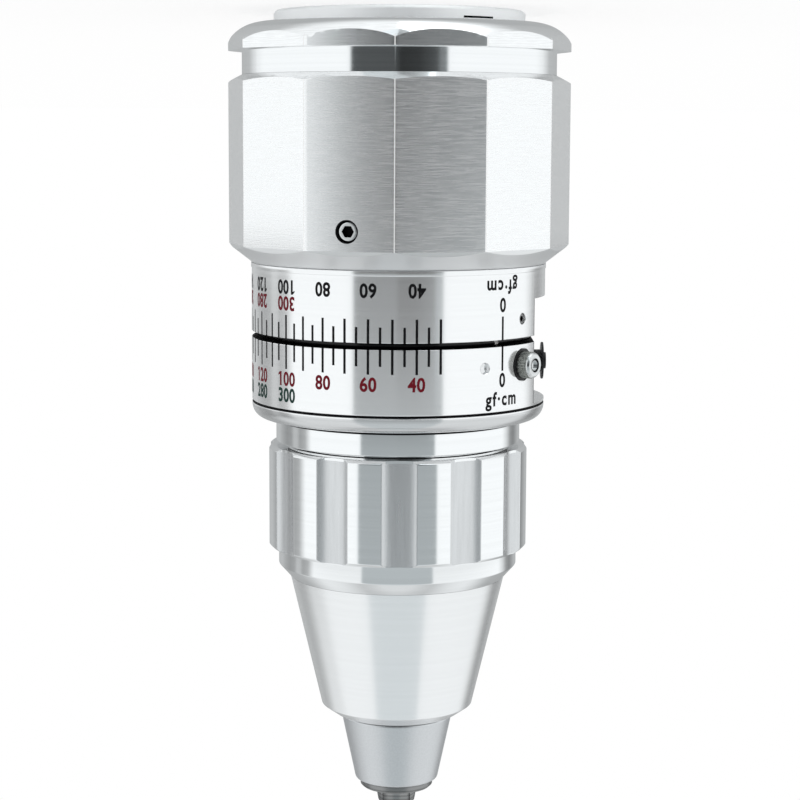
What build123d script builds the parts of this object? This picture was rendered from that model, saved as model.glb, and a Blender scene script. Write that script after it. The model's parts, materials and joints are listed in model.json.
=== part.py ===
from build123d import *
import math
import os

# Handheld torque gauge with a three-jaw chuck, in millimetres.
# The origin is the centre of the flat end of the handle, and +Z runs along the axis to the jaws.
# The gauge is turned about Z: a twelve-sided grip and a scale drum are held in the hand, and a
# second scale drum turns with the spindle and the chuck against a flat spiral spring.

# Handle lengths along the axis, from the end disc up to the slot between the two scale drums
end_disc_thickness = 1.8
cap_flange_length = 3.9
cap_neck_length = 3.4
grip_length = 26.9
handle_scale_length = 9.9
scale_slot = 0.9

# Chuck side lengths along the axis, from the slot up to the tips of the jaws
chuck_scale_length = 9.1
drum_edge_length = 2.6
flange_length = 4.0
ring_length = 15.25
band_length = 2.6
band_bevel = 1.9
cone_length = 19.5
cone_edge_length = 1.4
nose_length = 10.0
body_lip = 1.2
jaw_reach = 2.9
seam_gap = 0.35

# Handle outline: the scale drums' radius, and what the other radii add to it or take off
drum_radius = 21.4
drum_shoulder = 0.9
grip_wall = 4.3
facet_count = 12
first_corner_angle = -88.7
neck_depth = 2.1
grip_bevel_drop = 3.5
grip_bevel_length = 2.7
grip_lower_bevel = 1.1
end_disc_margin = 4.6
drum_rim_step = 0.1
drum_rim_height = 0.7

# Chuck outline radii
drum_edge_drop = 1.7
drum_edge_band = 1.1
edge_groove = 0.22
flange_radius = 17.9
flange_boss_radius = 16.2
flange_edge = 0.2
ring_radius = 19.05
ring_bevel = 0.45
band_radius = 17.56
cone_base_radius = 15.85
cone_tip_radius = 11.2
cone_edge_radius = 9.2
nose_base_radius = 8.25
nose_tip_radius = 6.12
nose_edge = 0.45
flute_count = 12
flute_width_angle = 15.6
flute_cutter_radius = 5.0
flute_angle = -90.8

# Fits: radial clearance of a fixed seat, of a running seat, and the play along the axis
fixed_gap = 0.03
running_gap = 0.1
end_play = 0.1

# How far a cut runs past the face that it opens
overrun = 1.0

# End disc and end cap
end_disc_edge = 0.4
end_disc_spigot_step = 3.1
end_disc_spigot_depth = 1.0
notch_angle = -127.3
notch_width = 5.2
notch_height = 0.45
notch_depth = 1.0
cap_shoulder_width = 4.1
cap_shoulder_height = 2.8
cap_shoulder_bulge = 0.55
cap_spigot_length = 6.0
cap_spigot_wall = 1.9
cap_floor = 1.5
cap_boss_wall = 2.8
clip_pocket_depth = 1.6
clip_pocket_radius = 5.4
spindle_foot_gap = 0.3

# The grip's three set screws
set_screw_radius = 1.5
set_screw_length = 3.0
set_screw_socket = 1.5
set_screw_socket_depth = 1.2
set_screw_angle = -73.0
set_screw_count = 3
set_screw_below_top = 5.4
set_screw_point_share = 0.3

# Handle scale drum
drum_wall = 3.2
drum_spigot_length = 9.6
drum_spigot_wall = 2.95
drum_web = 3.0
web_boss_wall = 3.0
web_lip = 1.5
flat_depth = 2.0
flat_angle = 180.0
flat_below_slot = 5.3
flat_above_slot = 8.8

# Marker ring between the drums and the small screw that brakes it
marker_recess = 2.05
marker_skirt_wall = 0.5
marker_skirt_depth = 3.2
brake_screw_radius = 0.8
brake_screw_length = 3.0
brake_screw_socket = 0.7
brake_screw_socket_depth = 0.8
brake_screw_angle = -145.0
brake_screw_below_slot = 2.7

# Ball bearings of the spindle: bore, outer radius, width, ball count
lower_bearing_bore = 3.0
lower_bearing_radius = 6.5
lower_ball_count = 7
upper_bearing_bore = 4.0
upper_bearing_radius = 8.0
upper_ball_count = 9
bearing_width = 5.0
ball_radius = 1.19
ball_gap = 0.03
race_land = 0.8
cage_wall = 0.5
cage_height = 3.0

# Spindle and its clips
spindle_collar_radius = 5.0
spindle_flange_radius = 9.0
spindle_flange_thickness = 1.6
spindle_thread_radius = 3.5
spindle_thread_length = 10.6
clip_thickness = 0.6
clip_groove_depth = 0.55
clip_width = 1.8
clip_opening_angle = 70.0

# Spiral spring, its hub on the spindle and its post in the drum
spring_strip = 0.3
spring_height = 6.0
spring_half_turns = 12
spring_gap = 0.05
spring_eye_turn = 320.0
spring_below_drum = 2.0
spring_angle = 100.0
post_radius = 0.9
post_outer_wall = 0.67
post_seat_depth = 3.5
hub_radius = 5.5
hub_below_spring = 1.0
hub_above_spring = 4.4
hub_slot_depth = 1.0
hub_pin_radius = 0.75

# Drum hub and chuck scale drum
chuck_drum_wall = 2.95
drum_web_thickness = 1.05
drum_web_bore = 12.0
drum_hub_recess = 0.7
screw_level = 2.9
cap_screw_angle = -145.5
cap_screw_radius = 1.0
cap_screw_length = 7.0
cap_head_radius = 1.9
cap_head_height = 2.0
cap_head_edge = 0.3
cap_socket = 1.5
cap_socket_depth = 1.0
washer_radius = 2.28
washer_thickness = 0.4
spot_face_depth = 0.35
spot_face_gap = 0.12
flat_screw_radius = 1.25
flat_screw_length = 6.0
flat_screw_neck_radius = 1.6
flat_screw_neck_height = 1.55
flat_screw_head_radius = 2.7
flat_screw_head_height = 0.32
flat_screw_head_edge = 0.1
flat_screw_boss_radius = 1.2
flat_screw_boss_height = 0.4
flat_screw_rise = 0.7
dimple_angle = -124.4
dimple_radius = 0.75
dimple_depth = 0.8

# Chuck body, cone and split nut
body_radius = 12.4
body_boss_radius = 11.0
body_boss_length = 1.6
body_core_radius = 6.6
body_collar_radius = 9.0
body_collar_length = 4.3
body_bore_radius = 2.9
body_bore_depth = 35.0
nut_width = 5.6
nut_radius = 11.3
nut_above_cone_base = 6.2
nut_split = 0.3
cone_spigot_radius = 14.5
ring_lip_length = 3.0
nose_wall_base = 0.85
nose_wall_tip = 0.72
nose_running_gap = 0.25
body_lip_edge = 0.3

# Jaws: three round pins on slanted axes that meet at the chuck's axis
jaw_count = 3
jaw_slant = 12.0
jaw_radius = 2.0
jaw_length = 29.0
jaw_tip_offset = 0.7
jaw_grip_radius = 0.75
jaw_side_gap = 0.15
jaw_bore_gap = 0.05
jaw_travel = 9.6
jaw_rear_room = 0.5
jaw_tip_bevel = 0.5

# Levels along the axis, worked out from the lengths
cap_base = end_disc_thickness
cap_step = cap_base + cap_flange_length
grip_base = cap_step + cap_neck_length
drum_base = grip_base + grip_length
slot_base = drum_base + handle_scale_length
chuck_drum_base = slot_base + scale_slot
edge_base = chuck_drum_base + chuck_scale_length
flange_base = edge_base + drum_edge_length
body_base = flange_base + flange_length
ring_base = body_base + end_play
band_base = ring_base + ring_length - end_play
band_bevel_base = band_base + band_length
cone_base = band_bevel_base + band_bevel
cone_top = cone_base + cone_length
cone_end = cone_top + cone_edge_length
nose_base = cone_end + seam_gap
nose_end = nose_base + nose_length
body_end = nose_end + body_lip
jaw_end = body_end + jaw_reach
nut_base = cone_base + nut_above_cone_base

# Outline radii worked out from the drums' radius
grip_bore_radius = drum_radius - drum_shoulder
corner_radius = grip_bore_radius + grip_wall
neck_radius = corner_radius - neck_depth
grip_top_radius = corner_radius - grip_bevel_drop
end_disc_radius = neck_radius - end_disc_margin
end_disc_spigot_radius = end_disc_radius - end_disc_spigot_step
drum_edge_radius = drum_radius - drum_edge_drop
marker_flange_radius = drum_radius - marker_recess
flat_distance = drum_radius - flat_depth

# Seats worked out from the sizes above
drum_bore = drum_radius - drum_wall
chuck_drum_bore = drum_radius - chuck_drum_wall
drum_spigot_radius = grip_bore_radius - fixed_gap
spring_post_place = drum_spigot_radius - post_outer_wall - post_radius
spring_outer_radius = spring_post_place - post_radius - spring_gap - spring_strip / 2
drum_spigot_base = drum_base - drum_spigot_length
web_base = drum_base - drum_web + drum_rim_height
web_top = drum_base + drum_rim_height
recess_top = cap_base + end_disc_spigot_depth + fixed_gap
clip_pocket_base = recess_top + cap_floor
lower_bearing_base = clip_pocket_base + clip_pocket_depth
lower_bearing_top = lower_bearing_base + bearing_width
upper_bearing_base = web_base
upper_bearing_top = upper_bearing_base + bearing_width
drum_hub_base = chuck_drum_base + drum_hub_recess
hub_seat = drum_hub_base + spindle_flange_thickness
spring_base = drum_spigot_base - spring_below_drum - spring_height
screw_z = chuck_drum_base + screw_level
jaw_lean = math.tan(math.radians(jaw_slant))


def turned(points):
    """A solid of revolution about Z from an outline of (radius, level) points."""
    return revolve(make_face(Plane.XZ * Polyline(*points, close=True)), Axis.Z)


def turned_ring(inner, outer, base, top):
    """A plain ring between two radii and two levels."""
    return turned([(inner, base), (outer, base), (outer, top), (inner, top)])


def upright(radius, base, top):
    """A plain round bar on the axis."""
    return Pos(0, 0, base) * Cylinder(radius, top - base, align=(Align.CENTER, Align.CENTER, Align.MIN))


def radial(shape, angle, level):
    """Lays a shape that stands on the origin out along a radius at a level."""
    return Rot(0, 0, angle) * Pos(0, 0, level) * Rot(0, 90, 0) * shape


def hexagon_bar(across_flats, base, top):
    """A hexagonal bar between two distances from the axis."""
    side = across_flats / math.sqrt(3)
    return Pos(0, 0, base) * extrude(RegularPolygon(side, 6), top - base)


def faceted(base, top):
    """The twelve-sided bar that the grip and the end cap are cut from."""
    outline = Rot(0, 0, first_corner_angle) * RegularPolygon(corner_radius, facet_count)
    return Pos(0, 0, base) * extrude(outline, top - base)


def drum_flat():
    """The block that mills the flat across both scale drums."""
    base = slot_base - flat_below_slot
    height = flat_below_slot + scale_slot + flat_above_slot
    block = Pos(flat_distance, 0, base) * Box(
        corner_radius, 2 * corner_radius, height, align=(Align.MIN, Align.CENTER, Align.MIN))
    return Rot(0, 0, flat_angle) * block


def make_end_disc():
    """The raised disc pressed into the end cap, with a pry notch at its edge."""
    top = cap_base
    disc = turned([
        (0, 0), (end_disc_radius - end_disc_edge, 0), (end_disc_radius, end_disc_edge),
        (end_disc_radius, top), (end_disc_spigot_radius - fixed_gap, top),
        (end_disc_spigot_radius - fixed_gap, top + end_disc_spigot_depth),
        (0, top + end_disc_spigot_depth),
    ])
    notch = Pos(end_disc_radius - notch_depth, 0, top - notch_height) * Box(
        2 * notch_depth, notch_width, notch_height, align=(Align.MIN, Align.CENTER, Align.MIN))
    return disc - Rot(0, 0, notch_angle) * notch


def make_end_cap():
    """The twelve-sided end cap, with its neck, its spigot and the seat of the lower bearing."""
    boss = lower_bearing_radius + cap_boss_wall
    spigot = grip_bore_radius - fixed_gap
    spigot_top = grip_base + cap_spigot_length
    pocket = clip_pocket_base + fixed_gap
    seat = lower_bearing_radius + fixed_gap
    shoulder_foot = (corner_radius - cap_shoulder_width, cap_base)
    shoulder_top = (corner_radius, cap_base + cap_shoulder_height)
    outline = Polyline(
        shoulder_top, (corner_radius, cap_step), (neck_radius, cap_step), (neck_radius, grip_base),
        (spigot, grip_base), (spigot, spigot_top), (spigot - cap_spigot_wall, spigot_top),
        (spigot - cap_spigot_wall, cap_step), (boss, cap_step), (boss, lower_bearing_top),
        (seat, lower_bearing_top), (seat, lower_bearing_base),
        (clip_pocket_radius, lower_bearing_base), (clip_pocket_radius, pocket), (0, pocket),
        (0, recess_top), (end_disc_spigot_radius, recess_top), (end_disc_spigot_radius, cap_base),
        shoulder_foot,
    )
    shoulder = SagittaArc(shoulder_foot, shoulder_top, -cap_shoulder_bulge)
    blank = revolve(make_face(Plane.XZ * (outline + shoulder)), Axis.Z)
    return blank & faceted(cap_base, spigot_top)


def make_grip():
    """The twelve-sided grip: facets between two turned bevels, with a plain bore."""
    blank = turned([
        (grip_bore_radius, grip_base), (neck_radius, grip_base),
        (corner_radius, grip_base + grip_lower_bevel), (corner_radius, drum_base - grip_bevel_length),
        (grip_top_radius, drum_base), (grip_bore_radius, drum_base),
    ])
    grip = blank & faceted(grip_base, drum_base)
    hole = Pos(0, 0, grip_bore_radius / 2) * Cylinder(
        set_screw_radius, corner_radius, align=(Align.CENTER, Align.CENTER, Align.MIN))
    for turn in range(set_screw_count):
        angle = set_screw_angle + turn * 360 / set_screw_count
        grip -= radial(hole, angle, drum_base - set_screw_below_top)
    return grip


def socket_set_screw(radius, length, socket, socket_depth, foot):
    """A set screw with a cone point, standing on its foot distance from the axis."""
    top = foot + length
    point = set_screw_point_share * radius
    screw = turned([
        (0, foot), (radius - point, foot), (radius, foot + point),
        (radius, top - point), (radius - point, top), (0, top),
    ])
    return screw - hexagon_bar(socket, top - socket_depth, top + overrun)


def make_grip_set_screws():
    """The screws that clamp the grip to the drum's spigot, one to every fourth facet."""
    screw = socket_set_screw(set_screw_radius - fixed_gap, set_screw_length, set_screw_socket,
                             set_screw_socket_depth, drum_spigot_radius)
    level = drum_base - set_screw_below_top
    angles = [set_screw_angle + turn * 360 / set_screw_count for turn in range(set_screw_count)]
    return Part() + [radial(screw, angle, level) for angle in angles]


def make_handle_drum():
    """The scale drum fixed in the grip, with the seat of the upper bearing in its web."""
    boss = upper_bearing_radius + web_boss_wall
    seat = upper_bearing_radius + fixed_gap
    groove = seat + clip_groove_depth
    groove_base = upper_bearing_top + fixed_gap
    groove_top = groove_base + clip_thickness + 2 * fixed_gap
    boss_top = groove_top + clip_thickness
    lip_radius = spindle_collar_radius + running_gap
    rim = drum_radius + drum_rim_step
    rim_top = drum_base + drum_rim_height
    spigot_bore = drum_spigot_radius - drum_spigot_wall
    drum = turned([
        (lip_radius, web_base - web_lip), (boss, web_base - web_lip), (boss, web_base),
        (spigot_bore, web_base), (spigot_bore, drum_spigot_base),
        (drum_spigot_radius, drum_spigot_base), (drum_spigot_radius, drum_base),
        (rim, drum_base), (rim, rim_top), (drum_radius, rim_top), (drum_radius, slot_base),
        (drum_bore, slot_base), (drum_bore, web_top), (boss, web_top), (boss, boss_top),
        (seat, boss_top), (seat, groove_top), (groove, groove_top), (groove, groove_base),
        (seat, groove_base), (seat, upper_bearing_base), (lip_radius, upper_bearing_base),
    ])
    brake_hole = Pos(0, 0, drum_bore - overrun) * Cylinder(
        brake_screw_radius, drum_wall + 2 * overrun, align=(Align.CENTER, Align.CENTER, Align.MIN))
    post_hole = Rot(0, 0, spring_angle) * Pos(spring_post_place, 0, 0) * upright(
        post_radius, drum_spigot_base - overrun, drum_spigot_base + post_seat_depth)
    drum -= radial(brake_hole, brake_screw_angle, slot_base - brake_screw_below_slot)
    return drum - post_hole - drum_flat()


def make_marker_ring():
    """The black marker ring: a skirt inside the handle drum and a flange in the slot."""
    skirt = drum_bore - running_gap
    base = slot_base + end_play
    top = chuck_drum_base - end_play
    skirt_base = slot_base - marker_skirt_depth
    return turned([
        (skirt - marker_skirt_wall, skirt_base), (skirt, skirt_base), (skirt, base),
        (marker_flange_radius, base), (marker_flange_radius, top), (skirt - marker_skirt_wall, top),
    ])


def make_marker_brake_screw():
    """The small set screw in the handle drum that bears on the marker ring's skirt."""
    screw = socket_set_screw(brake_screw_radius - fixed_gap, brake_screw_length,
                             brake_screw_socket, brake_screw_socket_depth, drum_bore)
    return radial(screw, brake_screw_angle, slot_base - brake_screw_below_slot)


def race_circle(bore, outer):
    """The radius of the circle on which a bearing's balls run."""
    return (bore + outer) / 2


def bearing_balls(bore, outer, base, count):
    """The balls of a bearing, evenly spaced."""
    ball = Pos(race_circle(bore, outer), 0, base + bearing_width / 2) * Sphere(ball_radius)
    return Part() + [Rot(0, 0, turn * 360 / count) * ball for turn in range(count)]


def bearing_cage(bore, outer, base, count):
    """The cage that spaces a bearing's balls: a thin ring with a pocket for each ball."""
    circle = race_circle(bore, outer)
    foot = base + (bearing_width - cage_height) / 2
    ring = turned_ring(circle - cage_wall / 2, circle + cage_wall / 2, foot, foot + cage_height)
    pocket = Pos(0, 0, circle - cage_wall) * Cylinder(
        ball_radius + ball_gap, 2 * cage_wall, align=(Align.CENTER, Align.CENTER, Align.MIN))
    for turn in range(count):
        ring -= radial(pocket, turn * 360 / count, base + bearing_width / 2)
    return ring


def ball_track(bore, outer, base):
    """The round track that the balls run in."""
    return Pos(0, 0, base + bearing_width / 2) * Torus(race_circle(bore, outer), ball_radius + ball_gap)


def bearing_outer_ring(bore, outer, base):
    """The outer ring of a bearing, with its half of the track."""
    inner = race_circle(bore, outer) + race_land
    return turned_ring(inner, outer, base, base + bearing_width) - ball_track(bore, outer, base)


def bearing_inner_ring(bore, outer, base):
    """The inner ring of a bearing, with its half of the track."""
    edge = race_circle(bore, outer) - race_land
    ring = turned_ring(bore, edge, base, base + bearing_width)
    return ring - ball_track(bore, outer, base)


def open_ring(inner, outer, base, opening_at):
    """A spring clip: a flat ring with an opening."""
    ring = turned_ring(inner, outer, base, base + clip_thickness)
    reach = 2 * outer
    half = math.radians(clip_opening_angle / 2)
    wedge = Pos(0, 0, base - overrun) * extrude(make_face(Polyline(
        (0, 0), (reach * math.cos(half), reach * math.sin(half)),
        (reach * math.cos(half), -reach * math.sin(half)), close=True)), clip_thickness + 2 * overrun)
    return ring - Rot(0, 0, opening_at) * wedge


def make_bearing_clip():
    """The spring clip that keeps the upper bearing in the drum's web."""
    seat = upper_bearing_radius + fixed_gap
    outer = seat + clip_groove_depth - fixed_gap
    return open_ring(outer - clip_width, outer, upper_bearing_top + 2 * fixed_gap, 90)


def make_spindle_clip():
    """The spring clip at the foot of the spindle, under the lower bearing."""
    inner = lower_bearing_bore - clip_groove_depth
    base = lower_bearing_base - clip_thickness - fixed_gap
    return open_ring(inner, inner + clip_width, base, -90)


def make_spindle():
    """The steel spindle: two journals, a collar, the drum hub's flange and the chuck's thread."""
    foot = clip_pocket_base + spindle_foot_gap
    lower = lower_bearing_bore - fixed_gap
    upper = upper_bearing_bore - fixed_gap
    groove = lower - clip_groove_depth
    clip_top = lower_bearing_base
    clip_foot = clip_top - clip_thickness - 2 * fixed_gap
    flange_foot = hub_seat - spindle_flange_thickness
    shaft = turned([
        (0, foot), (lower, foot), (lower, clip_foot), (groove, clip_foot), (groove, clip_top),
        (lower, clip_top), (lower, lower_bearing_top), (upper, lower_bearing_top),
        (upper, upper_bearing_top), (spindle_collar_radius, upper_bearing_top),
        (spindle_collar_radius, flange_foot), (spindle_flange_radius, flange_foot),
        (spindle_flange_radius, hub_seat), (spindle_collar_radius, hub_seat),
        (spindle_collar_radius, body_base), (spindle_thread_radius, body_base),
        (spindle_thread_radius, body_base + spindle_thread_length),
        (0, body_base + spindle_thread_length),
    ])
    return shaft - hub_pin_hole(hub_pin_radius)


def hub_pin_level():
    """The level of the pin that fixes the spring hub to the spindle."""
    return spring_base + spring_height + hub_above_spring / 2


def hub_pin_hole(radius):
    """A cross bar at the place of the spring hub's pin."""
    bar = Pos(0, 0, -hub_radius) * Cylinder(
        radius, 2 * hub_radius, align=(Align.CENTER, Align.CENTER, Align.MIN))
    return radial(bar, spring_angle + 90, hub_pin_level())


def make_spring_hub():
    """The hub on the spindle that holds the spring's inner end in a slot."""
    base = spring_base - hub_below_spring
    top = spring_base + spring_height + hub_above_spring
    hub = turned_ring(upper_bearing_bore, hub_radius, base, top)
    width = spring_strip + 4 * fixed_gap
    slot = Pos(hub_radius - hub_slot_depth - running_gap, -spring_strip / 2, spring_base - fixed_gap) * Box(
        2 * hub_slot_depth, width, spring_height + hub_above_spring + overrun,
        align=(Align.MIN, Align.CENTER, Align.MIN))
    return hub - Rot(0, 0, spring_angle) * slot - hub_pin_hole(hub_pin_radius)


def make_hub_pin():
    """The pin through the spring hub and the spindle."""
    return hub_pin_hole(hub_pin_radius - fixed_gap)


def make_spring_post():
    """The post in the handle drum that holds the spring's outer end."""
    post = Pos(spring_post_place, 0, 0) * upright(
        post_radius - fixed_gap, spring_base - hub_below_spring, drum_spigot_base + post_seat_depth)
    return Rot(0, 0, spring_angle) * post


def make_main_spring():
    """The flat spiral spring: half circles about two centres, an outer eye and an inner tab."""
    inner_radius = hub_radius + spring_gap + spring_strip / 2
    step = (spring_outer_radius - inner_radius) / spring_half_turns
    edges = []
    for side in (spring_strip / 2, -spring_strip / 2):
        for index in range(spring_half_turns):
            odd = index % 2
            edges.append(CenterArc((odd * step, 0), inner_radius + index * step + side, 180 * odd, 180))
    eye = spring_post_place
    eye_inner = eye - spring_outer_radius - spring_strip / 2
    eye_outer = eye_inner + spring_strip
    edges.append(CenterArc((eye, 0), eye_inner, 180, -spring_eye_turn))
    edges.append(CenterArc((eye, 0), eye_outer, 180, -spring_eye_turn))
    last = math.radians(180 - spring_eye_turn)
    edges.append(Line(*[(eye + r * math.cos(last), r * math.sin(last)) for r in (eye_inner, eye_outer)]))
    start = (inner_radius - spring_strip / 2, inner_radius + spring_strip / 2)
    edges.append(Line((start[0], 0), (start[1], 0)))
    strip = make_face(Wire(edges))
    tab = Pos(hub_radius - hub_slot_depth + fixed_gap, -spring_strip) * Rectangle(
        start[1] - hub_radius + hub_slot_depth - fixed_gap, spring_strip,
        align=(Align.MIN, Align.MIN))
    spring = extrude(strip + tab, spring_height)
    return Rot(0, 0, spring_angle) * Pos(0, 0, spring_base) * spring


def make_drum_hub():
    """The hub on the spindle that the chuck drum turns on when its zero is set."""
    rim = chuck_drum_bore - fixed_gap
    bore = spindle_collar_radius + fixed_gap
    recess = spindle_flange_radius + running_gap
    top = flange_base - drum_web_thickness
    hub = turned([
        (bore, hub_seat), (recess, hub_seat), (recess, drum_hub_base), (rim, drum_hub_base),
        (rim, top), (bore, top),
    ])
    cap_hole = Cylinder(cap_screw_radius, drum_radius, align=(Align.CENTER, Align.CENTER, Align.MIN))
    flat_hole = Cylinder(flat_screw_radius, drum_radius, align=(Align.CENTER, Align.CENTER, Align.MIN))
    cap_foot = cap_screw_foot()
    flat_foot = flat_distance - flat_screw_length
    hub -= radial(Pos(0, 0, cap_foot) * cap_hole, cap_screw_angle, screw_z)
    return hub - radial(Pos(0, 0, flat_foot) * flat_hole, flat_angle, screw_z + flat_screw_rise)


def cap_screw_foot():
    """How far from the axis the cap screw's tip reaches."""
    return drum_radius - spot_face_depth + washer_thickness - cap_screw_length


def make_chuck_drum():
    """The scale drum that turns with the chuck, with its rounded edge and its holes."""
    groove_top = edge_base + 2 * edge_groove
    band_top = edge_base + drum_edge_band
    web_under = flange_base - drum_web_thickness
    outline = Polyline(
        (drum_edge_radius, flange_base), (drum_web_bore, flange_base), (drum_web_bore, web_under),
        (chuck_drum_bore, web_under), (chuck_drum_bore, chuck_drum_base),
        (drum_radius, chuck_drum_base), (drum_radius, edge_base),
        (drum_radius - edge_groove, edge_base + edge_groove), (drum_radius, groove_top),
        (drum_radius, band_top),
    )
    edge = EllipticalCenterArc((drum_edge_radius, band_top), drum_radius - drum_edge_radius,
                               flange_base - band_top, 0, arc_size=90)
    drum = revolve(make_face(Plane.XZ * (outline + edge)), Axis.Z)
    hole = Pos(0, 0, chuck_drum_bore - overrun) * Cylinder(
        cap_screw_radius + running_gap, chuck_drum_wall + 2 * overrun,
        align=(Align.CENTER, Align.CENTER, Align.MIN))
    spot = Pos(0, 0, drum_radius - spot_face_depth) * Cylinder(
        washer_radius + spot_face_gap, spot_face_depth + overrun,
        align=(Align.CENTER, Align.CENTER, Align.MIN))
    flat_hole = Pos(0, 0, chuck_drum_bore - overrun) * Cylinder(
        flat_screw_radius + running_gap, chuck_drum_wall + 2 * overrun,
        align=(Align.CENTER, Align.CENTER, Align.MIN))
    dimple = turned([
        (0, drum_radius - dimple_depth - dimple_radius / 2), (dimple_radius, drum_radius - dimple_depth),
        (dimple_radius, drum_radius + overrun), (0, drum_radius + overrun),
    ])
    drum -= radial(hole, cap_screw_angle, screw_z)
    drum -= radial(spot, cap_screw_angle, screw_z)
    drum -= radial(dimple, dimple_angle, screw_z)
    drum -= drum_flat()
    return drum - radial(flat_hole, flat_angle, screw_z + flat_screw_rise)


def make_cap_screw():
    """The socket cap screw that locks the chuck drum on its hub."""
    seat = drum_radius - spot_face_depth + washer_thickness
    top = seat + cap_head_height
    foot = cap_screw_foot()
    shank = cap_screw_radius - fixed_gap
    screw = turned([
        (0, foot), (shank, foot), (shank, seat), (cap_head_radius, seat),
        (cap_head_radius, top - cap_head_edge), (cap_head_radius - cap_head_edge, top), (0, top),
    ])
    return radial(screw - hexagon_bar(cap_socket, top - cap_socket_depth, top + overrun),
                  cap_screw_angle, screw_z)


def make_cap_screw_washer():
    """The black washer under the cap screw, in a spot face on the drum."""
    base = drum_radius - spot_face_depth
    ring = turned_ring(cap_screw_radius + fixed_gap, washer_radius, base, base + washer_thickness)
    return radial(ring, cap_screw_angle, screw_z)


def make_flat_screw():
    """The flanged screw on the drum's flat: a neck, a thin flange and a small boss to turn it by."""
    flange = flat_distance + flat_screw_neck_height
    head = flange + flat_screw_head_height
    boss = head + flat_screw_boss_height
    foot = flat_distance - flat_screw_length
    shank = flat_screw_radius - fixed_gap
    rim = flat_screw_head_radius
    screw = turned([
        (0, foot), (shank, foot), (shank, flat_distance), (flat_screw_neck_radius, flat_distance),
        (flat_screw_neck_radius, flange), (rim, flange),
        (rim, head - flat_screw_head_edge), (rim - flat_screw_head_edge, head),
        (flat_screw_boss_radius, head), (flat_screw_boss_radius, boss), (0, boss),
    ])
    return radial(screw, flat_angle, screw_z + flat_screw_rise)


def make_chuck_flange():
    """The flange between the drum and the chuck, set off by a dark seam at each face."""
    bore = spindle_collar_radius + fixed_gap
    spigot = drum_web_bore - fixed_gap
    spigot_base = flange_base - drum_web_thickness
    rim_base = flange_base + seam_gap
    rim_top = body_base - seam_gap
    return turned([
        (bore, spigot_base), (spigot, spigot_base), (spigot, flange_base),
        (flange_boss_radius, flange_base), (flange_boss_radius, rim_base),
        (flange_radius - flange_edge, rim_base), (flange_radius, rim_base + flange_edge),
        (flange_radius, rim_top - flange_edge), (flange_radius - flange_edge, rim_top),
        (flange_boss_radius, rim_top), (flange_boss_radius, body_base), (bore, body_base),
    ])


def jaw_axis_radius(level):
    """How far a jaw's axis is from the chuck's axis at a level, with the jaws closed."""
    return jaw_tip_offset + (jaw_end - level) * jaw_lean


def jaw_half_width():
    """Half of a jaw's width along the radius, cut level."""
    return jaw_radius / math.cos(math.radians(jaw_slant))


def slanted_bar(radius, rear, front):
    """A round bar on a jaw's axis, between two distances behind and beyond the jaw's tip."""
    bar = Pos(0, 0, -rear) * Cylinder(radius, rear + front, align=(Align.CENTER, Align.CENTER, Align.MIN))
    return Pos(jaw_tip_offset, 0, jaw_end) * Rot(0, -jaw_slant, 0) * bar


def jaw_angle(index):
    """The direction in which a jaw opens."""
    return -90 + index * 360 / jaw_count


def make_chuck_body():
    """The chuck body: three slanted jaw bores, a groove for the split nut and a long nose."""
    nut_top = nut_base + nut_width
    groove_base = nut_base - end_play
    groove_top = nut_top + end_play
    neck = nose_base_radius
    lip = nose_tip_radius - nose_wall_tip
    collar_top = groove_top + body_collar_length
    body = turned([
        (0, body_base), (body_boss_radius, body_base), (body_boss_radius, body_base + body_boss_length),
        (body_radius, body_base + body_boss_length), (body_radius, groove_base),
        (body_core_radius, groove_base), (body_core_radius, groove_top),
        (body_collar_radius, groove_top), (body_collar_radius, collar_top), (neck, collar_top),
        (neck, nose_base), (neck - nose_wall_base, nose_base), (lip, nose_end),
        (lip, body_end - body_lip_edge), (lip - body_lip_edge, body_end), (0, body_end),
    ])
    body -= upright(spindle_thread_radius + fixed_gap, body_base - overrun,
                    body_base + spindle_thread_length + end_play)
    body -= upright(body_bore_radius, body_end - body_bore_depth, body_end + overrun)
    bore = slanted_bar(jaw_radius + jaw_bore_gap, jaw_length + jaw_travel + jaw_rear_room, overrun)
    for index in range(jaw_count):
        body -= Rot(0, 0, jaw_angle(index)) * bore
    return body


def make_nose_cone():
    """The aluminium nose cone pressed over the front of the chuck body."""
    inner_base = nose_base_radius - nose_wall_base + fixed_gap
    inner_tip = nose_tip_radius - nose_wall_tip + fixed_gap
    cone = turned([
        (inner_base, nose_base), (nose_base_radius, nose_base), (nose_tip_radius, nose_end),
        (inner_tip, nose_end),
    ])
    tip_edges = cone.edges().group_by(Axis.Z)[-1]
    return fillet(tip_edges.sort_by(SortBy.RADIUS)[-1], nose_edge)


def make_chuck_ring():
    """The fluted ring that opens and closes the chuck, with its plain band."""
    lip_bore = body_radius + running_gap
    corner = ring_radius - ring_bevel
    blank = turned([
        (lip_bore, ring_base), (corner, ring_base), (ring_radius, ring_base + ring_bevel),
        (ring_radius, band_base - ring_bevel), (corner, band_base),
        (band_radius, band_base), (band_radius, band_bevel_base), (cone_base_radius, cone_base),
        (cone_spigot_radius, cone_base), (cone_spigot_radius, ring_base + ring_lip_length),
        (lip_bore, ring_base + ring_lip_length),
    ])
    half_width = ring_radius * math.sin(math.radians(flute_width_angle / 2))
    mouth = ring_radius * math.cos(math.radians(flute_width_angle / 2))
    centre = mouth + math.sqrt(flute_cutter_radius ** 2 - half_width ** 2)
    cutter = Pos(centre, 0, 0) * upright(flute_cutter_radius, ring_base - overrun, band_base)
    for index in range(flute_count):
        blank -= Rot(0, 0, flute_angle + index * 360 / flute_count) * cutter
    return blank


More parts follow.
